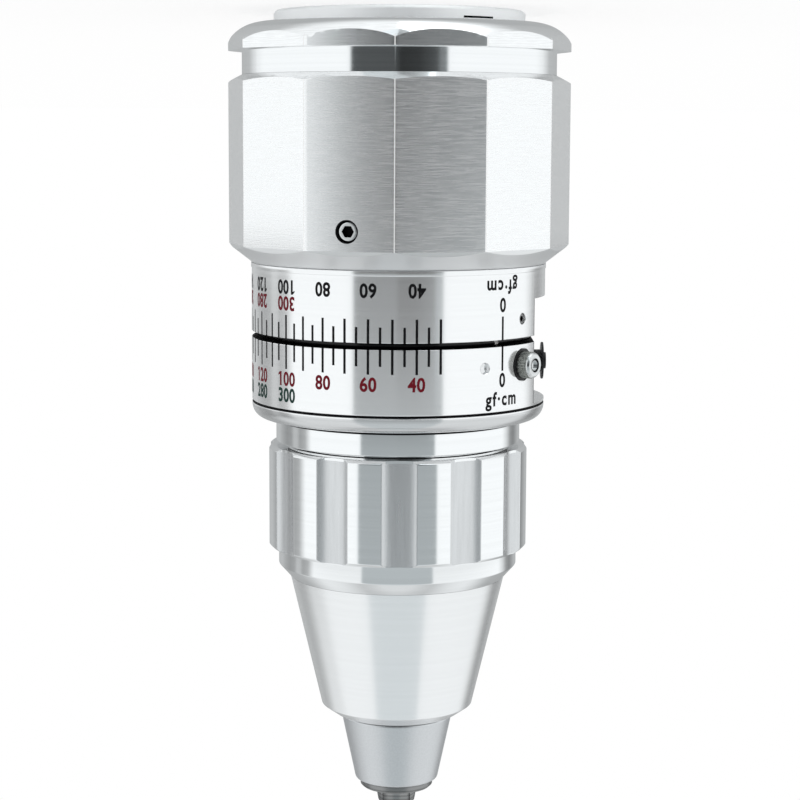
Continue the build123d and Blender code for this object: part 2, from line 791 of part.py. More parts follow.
def make_chuck_cone():
    """The cone sleeve: its spigot carries the fluted ring, and its bore holds the split nut."""
    rear = ring_base + ring_lip_length + fixed_gap
    bore = body_radius + running_gap
    nut_top = nut_base + nut_width
    journal = body_collar_radius + running_gap
    journal_top = nut_top + 2 * end_play + body_collar_length
    front = nose_base_radius + nose_running_gap
    spigot = cone_spigot_radius - fixed_gap
    return turned([
        (bore, rear), (spigot, rear), (spigot, cone_base), (cone_base_radius, cone_base),
        (cone_tip_radius, cone_top), (cone_edge_radius, cone_end), (front, cone_end),
        (front, journal_top), (journal, journal_top), (journal, nut_top),
        (nut_radius, nut_top), (nut_radius, nut_base), (bore, nut_base),
    ])


def make_jaw_nut():
    """The split nut in the cone that drives the jaws: two half rings with a taper bore."""
    top = nut_base + nut_width
    rear_bore = jaw_axis_radius(nut_base) + jaw_half_width() + running_gap
    front_bore = jaw_axis_radius(top) + jaw_half_width() + running_gap
    ring = turned([
        (rear_bore, nut_base), (nut_radius - fixed_gap, nut_base), (nut_radius - fixed_gap, top),
        (front_bore, top),
    ])
    split = Pos(0, 0, nut_base - overrun) * Box(
        3 * nut_radius, nut_split, nut_width + 2 * overrun, align=(Align.CENTER, Align.CENTER, Align.MIN))
    return ring - split


def make_jaw(index):
    """A jaw: a slanted pin cut to a third of a circle at its tip, with a hollow gripping edge."""
    pin = slanted_bar(jaw_radius, jaw_length, overrun)
    reach = 4 * body_radius
    apex = jaw_side_gap / 2 / math.sin(math.radians(180 / jaw_count))
    half = math.radians(180 / jaw_count)
    third = make_face(Polyline(
        (apex, 0), (apex + reach * math.cos(half), reach * math.sin(half)),
        (apex + reach * math.cos(half), -reach * math.sin(half)), close=True))
    room = Pos(0, 0, jaw_end - 2 * jaw_length) * extrude(third, 2 * jaw_length)
    outer_tip = jaw_tip_offset + jaw_half_width()
    bevel = turned([
        (0, jaw_end - 2 * jaw_length), (reach, jaw_end - 2 * jaw_length), (reach, jaw_end - reach),
        (outer_tip - jaw_tip_bevel, jaw_end), (0, jaw_end),
    ])
    hollow = upright(jaw_grip_radius, jaw_end - jaw_length, jaw_end + overrun)
    jaw = (pin & room & bevel) - hollow
    return Rot(0, 0, jaw_angle(index)) * jaw


def main():
    """Makes every piece and writes it to its own file."""
    lower = (lower_bearing_bore, lower_bearing_radius, lower_bearing_base)
    upper = (upper_bearing_bore, upper_bearing_radius, upper_bearing_base)
    pieces = {
        "end_disc": make_end_disc(),
        "end_cap": make_end_cap(),
        "grip": make_grip(),
        "grip_set_screws": make_grip_set_screws(),
        "handle_drum": make_handle_drum(),
        "marker_ring": make_marker_ring(),
        "marker_brake_screw": make_marker_brake_screw(),
        "lower_bearing_outer_ring": bearing_outer_ring(*lower),
        "lower_bearing_inner_ring": bearing_inner_ring(*lower),
        "lower_bearing_balls": bearing_balls(*lower, lower_ball_count),
        "lower_bearing_cage": bearing_cage(*lower, lower_ball_count),
        "upper_bearing_outer_ring": bearing_outer_ring(*upper),
        "upper_bearing_inner_ring": bearing_inner_ring(*upper),
        "upper_bearing_balls": bearing_balls(*upper, upper_ball_count),
        "upper_bearing_cage": bearing_cage(*upper, upper_ball_count),
        "bearing_clip": make_bearing_clip(),
        "spindle_clip": make_spindle_clip(),
        "spindle": make_spindle(),
        "spring_hub": make_spring_hub(),
        "spring_hub_pin": make_hub_pin(),
        "spring_post": make_spring_post(),
        "main_spring": make_main_spring(),
        "drum_hub": make_drum_hub(),
        "chuck_drum": make_chuck_drum(),
        "drum_cap_screw": make_cap_screw(),
        "cap_screw_washer": make_cap_screw_washer(),
        "drum_flat_screw": make_flat_screw(),
        "chuck_flange": make_chuck_flange(),
        "chuck_body": make_chuck_body(),
        "nose_cone": make_nose_cone(),
        "chuck_ring": make_chuck_ring(),
        "chuck_cone": make_chuck_cone(),
        "jaw_nut": make_jaw_nut(),
    }
    for index in range(jaw_count):
        pieces[f"jaw_{index + 1}"] = make_jaw(index)
    os.makedirs("parts", exist_ok=True)
    for name, piece in pieces.items():
        export_step(piece, f"parts/{name}.step")
        print(name, round(piece.volume, 1))


main()
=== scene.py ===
# %% [markdown]
# # A handheld torque gauge in polished aluminium
#
# The object is a gauge that is held in one hand while its small chuck turns a screw or a shaft.
# Almost all of it was turned on a lathe, so this lesson is about three things: turned bodies with
# fine edges, metal that shows its tool marks, and printed scales that wrap round a drum.
# The solids of the construction come first, as a fixed frame that every piece is fitted to.

import json
import math

import bmesh
import bpy
from mathutils import Matrix, Vector

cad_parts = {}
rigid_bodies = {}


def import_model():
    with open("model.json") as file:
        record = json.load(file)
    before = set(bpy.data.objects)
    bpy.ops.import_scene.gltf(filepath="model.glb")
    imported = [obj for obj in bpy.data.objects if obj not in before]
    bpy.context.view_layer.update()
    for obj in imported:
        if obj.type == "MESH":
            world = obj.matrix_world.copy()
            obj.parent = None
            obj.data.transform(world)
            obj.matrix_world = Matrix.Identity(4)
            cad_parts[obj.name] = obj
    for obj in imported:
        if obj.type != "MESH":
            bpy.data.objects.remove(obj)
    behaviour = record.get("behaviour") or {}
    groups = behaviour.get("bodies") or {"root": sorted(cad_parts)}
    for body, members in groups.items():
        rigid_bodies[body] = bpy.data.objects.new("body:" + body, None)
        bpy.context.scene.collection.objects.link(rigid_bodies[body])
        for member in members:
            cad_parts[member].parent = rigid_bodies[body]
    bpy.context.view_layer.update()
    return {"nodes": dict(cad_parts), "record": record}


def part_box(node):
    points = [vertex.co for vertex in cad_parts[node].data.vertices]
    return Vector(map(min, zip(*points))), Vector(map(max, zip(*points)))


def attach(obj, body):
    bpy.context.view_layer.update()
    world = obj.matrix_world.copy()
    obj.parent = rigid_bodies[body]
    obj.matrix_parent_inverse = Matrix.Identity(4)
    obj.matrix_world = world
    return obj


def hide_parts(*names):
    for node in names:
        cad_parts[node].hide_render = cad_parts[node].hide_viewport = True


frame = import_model()
nodes = frame["nodes"]

# %% [markdown]
# The solids are in metres, but a gauge is drawn in millimetres. Everything below is worked out in
# millimetres and turned into metres once, where a mesh is made. Levels and radii that the frame
# already has are read from it, so a piece can't drift away from the solid that it stands for.

# %% Read sizes from the frame
MM = 0.001
FULL_TURN = 360.0


def levels(node):
    """The lowest and highest level of a node on the gauge's axis, in millimetres."""
    low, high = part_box(node)
    return low.z / MM, high.z / MM


def reach(node):
    """How far a node reaches from the gauge's axis, in millimetres."""
    return max(math.hypot(v.co.x, v.co.y) for v in nodes[node].data.vertices) / MM


def polar(radius, angle, level=0.0):
    """The point at a distance and an angle round the axis, at a level."""
    turn = math.radians(angle)
    return Vector((radius * math.cos(turn), radius * math.sin(turn), level))


disc_top = levels("end_disc")[1]
grip_base, grip_top = levels("grip")
handle_drum_top = levels("handle_drum")[1]
chuck_drum_base, chuck_drum_top = levels("chuck_drum")
corner_radius = reach("grip")
drum_radius = reach("chuck_drum")
print("corner radius", round(corner_radius, 3), "drum radius", round(drum_radius, 3))

# %% [markdown]
# ## The camera
#
# The photograph was taken from about 30 cm, level with the grip, with the chuck pointing down.
# The model stands on its flat end instead, because that is how a gauge rests on a bench. So the
# camera is turned upside down: it looks along +Y from the front and a little towards the chuck,
# and its own up direction points to the handle's end.

# %% Place the camera
CAMERA_DISTANCE = 307.0
CAMERA_LEVEL = 16.9
CAMERA_SIDE = -0.3
CAMERA_PITCH = 7.33
CAMERA_ROLL = -0.25
CAMERA_LENS = 94.5
CAMERA_CLIP = 0.01

pitch = math.radians(CAMERA_PITCH)
roll = math.radians(CAMERA_ROLL)
ahead = Vector((0, math.cos(pitch), math.sin(pitch)))
upward = Vector((0, math.sin(pitch), -math.cos(pitch)))
rightward = ahead.cross(upward)
turned_up = upward * math.cos(roll) + rightward * math.sin(roll)
turned_right = ahead.cross(turned_up)

camera = bpy.data.objects.new("camera", bpy.data.cameras.new("camera"))
bpy.context.scene.collection.objects.link(camera)
bpy.context.scene.camera = camera
camera.data.lens = CAMERA_LENS
camera.data.clip_start = CAMERA_CLIP
camera.matrix_world = Matrix((turned_right, turned_up, -ahead)).transposed().to_4x4()
camera.location = Vector((CAMERA_SIDE, -CAMERA_DISTANCE, CAMERA_LEVEL)) * MM
print("the camera looks along", [round(v, 3) for v in ahead])

# %% [markdown]
# ## Shader sums as Python
#
# A finish is a sum of noises, steps and mixes. Written with nodes one by one it is hard to read,
# so one small class wraps a socket and gives it the operators of a number. Every other node comes
# from one method, which takes the node's type, its settings and the values or links of its inputs.

# %% Wrap a socket
class Socket:
    """One output of a node, which can be used in sums like a number."""

    def __init__(self, shop, output):
        self.shop = shop
        self.output = output

    def beside(self, name):
        """Another output of the same node."""
        return Socket(self.shop, self.output.node.outputs[name])

    def maths(self, operation, first, second=0.0):
        return self.shop.add("ShaderNodeMath", {"operation": operation}, {0: first, 1: second})

    def __add__(self, other):
        return self.maths("ADD", self, other)

    def __sub__(self, other):
        return self.maths("SUBTRACT", self, other)

    def __rsub__(self, other):
        return self.maths("SUBTRACT", other, self)

    def __mul__(self, other):
        return self.maths("MULTIPLY", self, other)

    def __truediv__(self, other):
        return self.maths("DIVIDE", self, other)

    def __pow__(self, other):
        return self.maths("POWER", self, other)

    def __abs__(self):
        return self.maths("ABSOLUTE", self)

    __radd__ = __add__
    __rmul__ = __mul__


print("a socket has", sum(name.startswith("__") for name in vars(Socket)), "special names")

# %% [markdown]
# The class for a node tree has that one method, and a few sums that come back often: a smooth step,
# a noise in millimetres, a mix of two colours, and a grey that follows a list of stops.

# %% Wrap a node tree
class Shop:
    """A node tree in which a finish or a sky is put together."""

    def __init__(self, tree):
        self.tree = tree
        tree.nodes.clear()

    def add(self, kind, settings=None, inputs=None, output=0):
        """Makes a node, sets it up, feeds its inputs and returns one of its outputs."""
        node = self.tree.nodes.new(kind)
        for name, value in (settings or {}).items():
            if name == "stops":
                self.set_stops(node.color_ramp, value)
            else:
                setattr(node, name, value)
        for key, value in (inputs or {}).items():
            if isinstance(value, Socket):
                self.tree.links.new(value.output, node.inputs[key])
            else:
                node.inputs[key].default_value = value
        return Socket(self, node.outputs[output]) if node.outputs else None

    def set_stops(self, ramp, stops):
        """Gives a colour ramp its stops: pairs of a place and a colour."""
        while len(ramp.elements) < len(stops):
            ramp.elements.new(0.5)
        for element, (place, colour) in zip(ramp.elements, stops):
            element.position = place
            element.color = (*colour, 1.0)

    def step(self, value, low, high):
        """Rises smoothly from 0 to 1 as a value goes from low to high."""
        return self.add("ShaderNodeMapRange", {"interpolation_type": "SMOOTHSTEP"},
                        {"Value": value, "From Min": low, "From Max": high})

    def noise(self, scales, detail=2.0, roughness=0.5):
        """Noise in the piece's own space, with a scale for each axis in waves per millimetre."""
        place = self.add("ShaderNodeTexCoord", output="Object")
        stretched = self.add("ShaderNodeVectorMath", {"operation": "MULTIPLY"},
                             {0: place, 1: [scale / MM for scale in scales]})
        return self.add("ShaderNodeTexNoise", {"noise_dimensions": "3D"},
                        {"Vector": stretched, "Scale": 1.0, "Detail": detail,
                         "Roughness": roughness})

    def mix(self, share, first, second):
        """A colour between two colours."""
        return self.add("ShaderNodeMix", {"data_type": "RGBA"},
                        {"Factor": share, 6: first, 7: second}, output=2)

    def ramp(self, value, stops):
        """A grey that follows a value through (value, brightness) stops."""
        low, high = stops[0][0], stops[-1][0]
        brightest = max(grey for place, grey in stops)
        shares = [((place - low) / (high - low), (grey / brightest,) * 3) for place, grey in stops]
        share = (value - low) / (high - low)
        return self.add("ShaderNodeValToRGB", {"stops": shares}, {0: share}) * brightest


print("sums:", ", ".join(name for name in vars(Shop) if not name.startswith("_")))

# %% [markdown]
# ## The studio
#
# Bright metal has almost no colour of its own: what is seen in it is the room. The photograph was
# lit by two tall white softboxes, left and right, and the dark room shows between them, so every
# round surface has a grey stripe down its middle, white to both sides of it and grey edges. The sky
# below is that room, worked out from the direction of the ray: what stands round the gauge follows
# the bearing, and what is seen between the softboxes follows the height. Only mirrors see it. The
# camera sees plain white, and matt surfaces are lit evenly, so a colour renders about as written.

# %% Describe the room
SOFTBOX_FROM = 33.3
SOFTBOX_FULL = 36.0
SOFTBOX_LIGHT = 1.08
# The room by bearing, where 0 is the camera and the photograph's right is positive. Low down the
# softboxes reach far round, and higher up dark stands and gaps show beside them.
ROUND_LOW = [(-180, 0.42), (-140, 0.5), (-124, 0.9), (-116, 1.0), (116, 1.0), (126, 0.9),
             (140, 0.5), (180, 0.42)]
ROUND_HIGH = [(-180, 0.45), (-150, 0.5), (-128, 0.27), (-119, 0.3), (-115, 0.47), (-109, 0.47),
              (-105, 0.3), (-97, 0.4), (-89, 1.0), (0, 1.0), (116, 1.0), (124, 0.7), (132, 0.28),
              (140, 0.22), (156, 0.45), (180, 0.45)]
# How much of the upper room's darkness shows at a height, and how the softboxes fade with it.
DARKNESS = [(-90, 0.0), (3.1, 0.0), (3.6, 1.0), (12, 0.9), (22, 0.85), (30, 0.25), (45, 0.05),
            (90, 0.0)]
FADE = [(-90, 0.9), (15, 1.0), (18, 0.85), (22, 0.85), (38, 0.9), (60, 0.84), (90, 0.85)]
# The room between the softboxes by height, and its darker side by bearing, which fades upwards.
BETWEEN = [(-90, 1.0), (-63, 1.0), (-52, 0.7), (-34, 0.5), (-14, 0.2), (-2, 0.08), (0, 0.10),
           (3, 0.13), (5, 0.18), (7, 0.28), (8.6, 0.42), (12, 0.43), (36, 0.64), (60, 0.7),
           (72, 0.5), (82, 0.7), (90, 0.7)]
SIDEWAYS = [(-40, 1.0), (-2, 0.9), (1, 0.35), (14, 0.45), (24, 0.8), (27, 1.0), (30, 2.4), (40, 2.4)]
SIDEWAYS_UNTIL = (4.5, 8.0)
# Far above and far below the gauge the walls turn white, and below it a little further down.
BACK_WHITE = (37.0, 60.0)
BACK_WHITE_SHIFT = 3.0
# Steeper than this the softboxes end, and the middle of the room closes over them.
STEEP = (50.0, 80.0)
ROOM_TINT = (0.92, 1.0, 1.03, 1.0)
SOFTBOX_TINT = (0.97, 1.0, 1.01, 1.0)
WHITE = (1.0, 1.0, 1.0, 1.0)
print("softboxes from", SOFTBOX_FULL, "degrees off the camera")

# %% [markdown]
# The sky's shader turns the direction of a ray into a bearing and a rise in degrees. It reads the
# walls at that bearing and the middle of the room at that rise, and lets one pass into the other at
# the edges of the softboxes. Only rays that look into metal, or through glass, see the result.

# %% Build the sky
DEGREE = math.pi / 180

world = bpy.data.worlds.new("studio")
world.use_nodes = True
bpy.context.scene.world = world
sky = Shop(world.node_tree)
direction = sky.add("ShaderNodeTexCoord", output="Generated")
east = sky.add("ShaderNodeSeparateXYZ", inputs={0: direction})
north = east.beside("Y")
height = east.beside("Z")
bearing = sky.add("ShaderNodeMath", {"operation": "ARCTAN2"},
                  {0: 0.0 - east, 1: 0.0 - north}) / DEGREE
rise = sky.add("ShaderNodeMath", {"operation": "ARCSINE"}, {0: height}) / DEGREE
in_softbox = sky.step(abs(bearing), SOFTBOX_FROM, SOFTBOX_FULL)
steepness = sky.step(abs(rise), *STEEP)
low_walls = sky.ramp(bearing, ROUND_LOW)
low_walls = low_walls + (1.0 - low_walls) * sky.step(abs(rise + BACK_WHITE_SHIFT), *BACK_WHITE)
walls = low_walls + (sky.ramp(bearing, ROUND_HIGH) - low_walls) * sky.ramp(rise, DARKNESS)
sideways = sky.ramp(bearing, SIDEWAYS)
sideways = sideways + (1.0 - sideways) * sky.step(rise, *SIDEWAYS_UNTIL)
between = sky.ramp(rise, BETWEEN) * sideways
room = between + (walls * sky.ramp(rise, FADE) - between) * in_softbox * (1.0 - steepness)
camera_ray = sky.add("ShaderNodeLightPath", output="Is Camera Ray")
in_metal = camera_ray.beside("Is Glossy Ray") + camera_ray.beside("Is Transmission Ray")
in_metal = in_metal * (1.0 - camera_ray)
strength = 1.0 + (room * SOFTBOX_LIGHT - 1.0) * in_metal
tint = sky.mix(in_metal, WHITE, sky.mix(in_softbox, ROOM_TINT, SOFTBOX_TINT))
sky.add("ShaderNodeOutputWorld", inputs={
    "Surface": sky.add("ShaderNodeBackground", inputs={"Color": tint, "Strength": strength})})
bpy.context.scene.view_settings.view_transform = "Standard"
print("the sky has", len(sky.tree.nodes), "nodes")

# %% [markdown]
# The floor is white too, and keeps a faint shadow. Mirrors look through it into the room, because
# the gauge in the photograph hangs free and its end cap shows no table.

# %% Lay the floor
FLOOR_SIDE = 3.0
FLOOR_COLOUR = (0.98, 0.98, 0.98, 1.0)
FLOOR_GLOW = 0.75

floor_mesh = bpy.data.meshes.new("floor")
corners = [(x * FLOOR_SIDE / 2, y * FLOOR_SIDE / 2, 0)
           for x, y in ((-1, -1), (1, -1), (1, 1), (-1, 1))]
floor_mesh.from_pydata(corners, [], [(0, 1, 2, 3)])
floor = bpy.data.objects.new("floor", floor_mesh)
bpy.context.scene.collection.objects.link(floor)
floor_finish = bpy.data.materials.new("pale_floor")
floor_finish.use_nodes = True
paper = Shop(floor_finish.node_tree)
matt = paper.add("ShaderNodeBsdfDiffuse", inputs={"Color": FLOOR_COLOUR})
glow = paper.add("ShaderNodeEmission", inputs={"Color": WHITE, "Strength": 1.0})
camera_ray = paper.add("ShaderNodeLightPath", output="Is Camera Ray")
seen = paper.add("ShaderNodeMixShader", inputs={0: camera_ray * FLOOR_GLOW, 1: matt, 2: glow})
clear = paper.add("ShaderNodeBsdfTransparent")
in_metal = camera_ray.beside("Is Glossy Ray") * (1.0 - camera_ray)
paper.add("ShaderNodeOutputMaterial", inputs={
    "Surface": paper.add("ShaderNodeMixShader", inputs={0: in_metal, 1: seen, 2: clear})})
floor_mesh.materials.append(floor_finish)
print("floor", FLOOR_SIDE, "m wide")

# %% [markdown]
# ## Sweeping outlines
#
# Each body of the gauge is a turned blank, so one function makes them all: it sweeps a closed
# outline of (radius, level) points round the axis. A milled form, such as a facet, a flute or the
# flat on the drums, is a limit on the radius that changes with the angle. Where a slanted part of
# the outline meets the limit, the crossing gets a point of its own, and that row of points draws
# the scallops at the ends of the facets.
#
# An outline starts as a few corners. They are rounded before the sweep, because no machined edge is
# really sharp, and a small rounding is what catches the light.

# %% Round an outline
ROUNDING_STEPS = 4
TURN_WITHOUT_ROUNDING = 12.0


def soften(points, size):
    """Rounds the corners of an open outline, and leaves its ends and its slight turns as they are."""
    rounded = [points[0]]
    for before, here, after in zip(points, points[1:], points[2:]):
        here = Vector(here)
        back, on = Vector(before) - here, Vector(after) - here
        if math.degrees(back.angle(-on)) < TURN_WITHOUT_ROUNDING:
            rounded.append(tuple(here))
            continue
        length = min(size, back.length / 2, on.length / 2)
        start, end = back.normalized() * length, on.normalized() * length
        for step in range(ROUNDING_STEPS + 1):
            share = step / ROUNDING_STEPS
            rounded.append(tuple(here + start * (1 - share) ** 2 + end * share ** 2))
    return rounded + [points[-1]]


def uncut(points):
    """Marks points that a limit on the radius leaves alone."""
    return [(*point, False) for point in points]


def bow(start, end, bulge, steps=12):
    """Points on an arc from start to end, which bulges to the right of the way by a height."""
    start, end = Vector(start), Vector(end)
    chord = end - start
    side = Vector((chord.y, -chord.x)).normalized()
    radius = (chord.length ** 2 / 4 + bulge ** 2) / (2 * bulge)
    half = math.asin(chord.length / 2 / radius)
    centre = (start + end) / 2 - side * (radius - bulge)
    points = []
    for step in range(steps + 1):
        turn = half * (2 * step / steps - 1)
        ray = side * math.cos(turn) + chord.normalized() * math.sin(turn)
        points.append(tuple(centre + radius * ray))
    return points


print("a rounded corner has", ROUNDING_STEPS + 1, "points")

# %% [markdown]
# The columns of a sweep stand at even angles, and closer together at each corner between facets, so
# that a corner is a narrow band with clean edges.

# %% Space the columns
COLUMN_STEP = 1.25


def apart(first, second):
    """The angle between two directions, in degrees."""
    return abs((first - second + FULL_TURN / 2) % FULL_TURN - FULL_TURN / 2)


def spaced(step=COLUMN_STEP, corners=(), spread=0.26, first=0.0):
    """Angles all the way round: evenly spaced ones, and five close together at each corner."""
    wanted = [(corner + spread * part / 2) % FULL_TURN for corner in corners for part in range(-2, 3)]
    regular = [(first + index * step) % FULL_TURN for index in range(round(FULL_TURN / step))]
    regular = [angle for angle in regular if all(apart(angle, other) > step / 3 for other in wanted)]
    return sorted(wanted + regular)


def soft_min(first, second, size):
    """The smaller of two numbers, with the corner between them rounded off."""
    near = max(size - abs(first - second), 0.0) / size
    return min(first, second) - near * near * size / 4


print("columns of a plain body:", len(spaced()))

# %% [markdown]
# At each angle the outline is cut back to the limit. Every column has the same number of points, so
# neighbours can be joined row by row. Points that fall on each other are merged at the end.

# %% Sweep an outline round the axis
MERGE_WIDTH = 0.0002


def cut_back(outline, limit, least):
    """The outline at one angle, cut back to a radius, always with the same number of points."""
    points = []
    for here, after in zip(outline, outline[1:] + outline[:1]):
        (radius, level, cut), (next_radius, next_level, next_cut) = here, after
        points.append((min(radius, limit) if cut else radius, level))
        if cut and next_cut and radius != next_radius and max(radius, next_radius) > least:
            share = min(1.0, max(0.0, (limit - radius) / (next_radius - radius)))
            crossing = radius + (next_radius - radius) * share
            points.append((min(crossing, limit), level + (next_level - level) * share))
    return points


def swept(outline, angles=None, limit=None):
    """A closed mesh from a closed outline, swept round the axis."""
    angles = angles or spaced()
    outline = [(*point, True)[:3] for point in outline]
    least = min(limit(angle) for angle in angles) if limit else 0.0
    mesh = bmesh.new()
    columns = []
    for angle in angles:
        points = cut_back(outline, limit(angle), least) if limit else [point[:2] for point in outline]
        columns.append([mesh.verts.new(polar(radius, angle, level)) for radius, level in points])
    for left, right in zip(columns, columns[1:] + columns[:1]):
        for row, (low_left, low_right) in enumerate(zip(left, right)):
            above = (row + 1) % len(left)
            mesh.faces.new((low_left, low_right, right[above], left[above]))
    bmesh.ops.remove_doubles(mesh, verts=mesh.verts, dist=MERGE_WIDTH)
    bmesh.ops.dissolve_degenerate(mesh, dist=MERGE_WIDTH, edges=mesh.edges)
    bmesh.ops.recalc_face_normals(mesh, faces=mesh.faces)
    return mesh


plain_ring = swept([(1, 0), (2, 0), (2, 1), (1, 1)])
print("a plain ring has", len(plain_ring.faces), "faces")

# %% [markdown]
# Screws, holes and labels are made where they are easy to draw, and then put in place. Most of them
# point outwards along a radius.

# %% Put copies in place
def radial(angle, level, distance=0.0):
    """The place of a screw or a hole: its own Z runs outwards along a radius, from a distance."""
    return (Matrix.Rotation(math.radians(angle), 4, "Z") @ Matrix.Translation((0, 0, level))
            @ Matrix.Rotation(math.radians(90), 4, "Y") @ Matrix.Translation((0, 0, distance)))


def joined(meshes, places=None):
    """Meshes as one, each at its place if it has one."""
    whole = bmesh.new()
    for mesh, place in zip(meshes, places or [Matrix.Identity(4)] * len(meshes)):
        data = bpy.data.meshes.new("copy")
        mesh.to_mesh(data)
        data.transform(place)
        whole.from_mesh(data)
        bpy.data.meshes.remove(data)
    return whole


def placed(mesh, *places):
    """Copies of a mesh at one or more places, as one mesh."""
    return joined([mesh] * len(places), places)


print("two copies have", len(placed(plain_ring, radial(0, 0), radial(90, 0)).faces), "faces")

# %% [markdown]
# A mesh becomes a piece in one call. It is made in millimetres and shrunk to metres here, holes are
# cut by other meshes, edges that turn more than a rounding does are marked sharp, and weighted
# normals keep the walls between the roundings flat.

# %% Bake and shade a mesh
SHARP_ANGLE = 29.0


def as_object(name, mesh):
    """Puts a mesh into the scene, in metres."""
    data = bpy.data.meshes.new(name)
    mesh.to_mesh(data)
    data.transform(Matrix.Scale(MM, 4))
    thing = bpy.data.objects.new(name, data)
    bpy.context.scene.collection.objects.link(thing)
    return thing


def bake(thing):
    """Applies an object's modifiers to its mesh."""
    shaped = thing.evaluated_get(bpy.context.evaluated_depsgraph_get())
    data = bpy.data.meshes.new_from_object(shaped)
    thing.modifiers.clear()
    thing.data = data


def mark_edges(data):
    """Smooth faces, with sharp edges where the surface turns."""
    mesh = bmesh.new()
    mesh.from_mesh(data)
    for face in mesh.faces:
        face.smooth = True
    for edge in mesh.edges:
        edge.smooth = edge.calc_face_angle(0.0) < math.radians(SHARP_ANGLE)
    mesh.to_mesh(data)


print("edges are sharp from", SHARP_ANGLE, "degrees")

# %% [markdown]
# Some faces of a body get another finish than the rest, such as the wall of a slot, which is painted
# black as painted shade. They are found by where they lie. The finished piece rides on its body in
# the mechanism, and it takes the place of the solids that it stands for.

# %% Turn meshes into pieces
NORMAL_WEIGHT = 90

record_slots = {material["slot"] for material in frame["record"]["materials"]}


def dye(mesh, number, wanted):
    """Gives the faces whose middle (radius, angle, level) passes a test another material number."""
    for face in mesh.faces:
        x, y, level = face.calc_center_median()
        if wanted(math.hypot(x, y), math.degrees(math.atan2(y, x)), level):
            face.material_index = number


def make(name, mesh, body, slot, stands_for=(), holes=(), looks=None):
    """Makes a piece of the gauge that rides on a body and takes the place of CAD nodes."""
    piece = as_object(name, mesh)
    tools = [as_object("hole", hole) for hole in holes]
    for tool in tools:
        cut = piece.modifiers.new("cut", "BOOLEAN")
        cut.operation = "DIFFERENCE"
        cut.solver = "EXACT"
        cut.object = tool
    bake(piece)
    for tool in tools:
        bpy.data.objects.remove(tool)
    mark_edges(piece.data)
    weighted = piece.modifiers.new("weighted", "WEIGHTED_NORMAL")
    weighted.keep_sharp = True
    weighted.weight = NORMAL_WEIGHT
    bake(piece)
    for look in looks or [slot]:
        piece.data.materials.append(finishes[look])
    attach(piece, body)
    if stands_for:
        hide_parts(*stands_for)
    slot in record_slots


print("slots in the record:", ", ".join(sorted(record_slots)))

# %% [markdown]
# ## Finishes
#
# The aluminium is one metal with several surfaces. A turned wall has fine rings, which are noise
# along the level and the radius alone. A brushed or milled facet has short level scratches, which
# are noise that is stretched sideways, and a flute has streaks along the axis. Blasted faces and
# broken corners have an even grain. The pattern changes the roughness a little, tilts some surfaces
# through a bump, and leaves the colour almost even. Satin and blasted faces are less metallic, so
# that they keep some of the even light of the room.

# %% Turn patterns into finishes
SHINE = "Specular IOR Level"
# The part of a pattern over which it goes from its darker to its lighter state.
CONTRAST = (0.3, 0.7)

finishes = {}


def finish(slot, colour, roughness, lines=None, depth=0.0, spread=0.0, metallic=1.0, dark=1.0,
           sheen=0.0, **constants):
    """A finish whose colour, roughness and bump follow a pattern of lines."""
    material = bpy.data.materials.new(slot + "_finish")
    material.use_nodes = True
    shop = Shop(material.node_tree)
    inputs = {"Base Color": (*colour, 1.0), "Metallic": metallic, "Roughness": roughness}
    if lines:
        pattern = lines(shop)
        if dark < 1.0:
            darker = (*(dark * part for part in colour), 1.0)
            share = shop.step(pattern, *CONTRAST)
            inputs["Base Color"] = shop.mix(share, darker, inputs["Base Color"])
        if sheen:
            inputs["Metallic"] = metallic + (shop.step(pattern, *CONTRAST) - 0.5) * sheen
        if spread:
            inputs["Roughness"] = roughness + (pattern - 0.5) * spread
        if depth:
            inputs["Normal"] = shop.add("ShaderNodeBump", inputs={
                "Height": pattern, "Strength": 1.0, "Distance": depth * MM})
    inputs.update(constants)
    shop.add("ShaderNodeOutputMaterial", inputs={
        "Surface": shop.add("ShaderNodeBsdfPrincipled", inputs=inputs)})
    finishes[slot] = material


print("a pattern's contrast lies between", *CONTRAST)

# %% [markdown]
# A pattern is made anew in each finish, so each of the functions below returns another function,
# which draws the pattern in the shop that it is given.

# %% Draw the patterns
FINE = {"detail": 3.0, "roughness": 0.6}
RING_ROUGHNESS = 0.6


def rings(scale, side_share=0.6, detail=1.0):
    """Rings round the axis: noise along the level and, on flat ends, along the radius."""
    def pattern(shop):
        place = shop.add("ShaderNodeTexCoord", output="Object")
        x = shop.add("ShaderNodeSeparateXYZ", inputs={0: place})
        y = x.beside("Y")
        along = x.beside("Z") + (x * x + y * y) ** 0.5 * side_share
        return shop.add("ShaderNodeTexNoise", {"noise_dimensions": "1D"}, {
            "W": along, "Scale": scale / MM, "Detail": detail, "Roughness": RING_ROUGHNESS})
    return pattern


def scratches(length, width):
    """Level scratches of about a length and a width, in millimetres."""
    def pattern(shop):
        return shop.noise((1 / length, 1 / length, 1 / width), **FINE)
    return pattern


def streaks(length, width):
    """Streaks along the axis of about a length and a width, in millimetres."""
    def pattern(shop):
        return shop.noise((1 / width, 1 / width, 1 / length), **FINE)
    return pattern


def grain(size):
    """A fine even grain."""
    def pattern(shop):
        return shop.noise((1 / size, 1 / size, 1 / size))
    return pattern


print("patterns: rings, scratches, streaks and grain")

# %% Mix the finishes
ALUMINIUM = (0.90, 0.905, 0.91)
BAR_ALUMINIUM = (0.93, 0.935, 0.94)

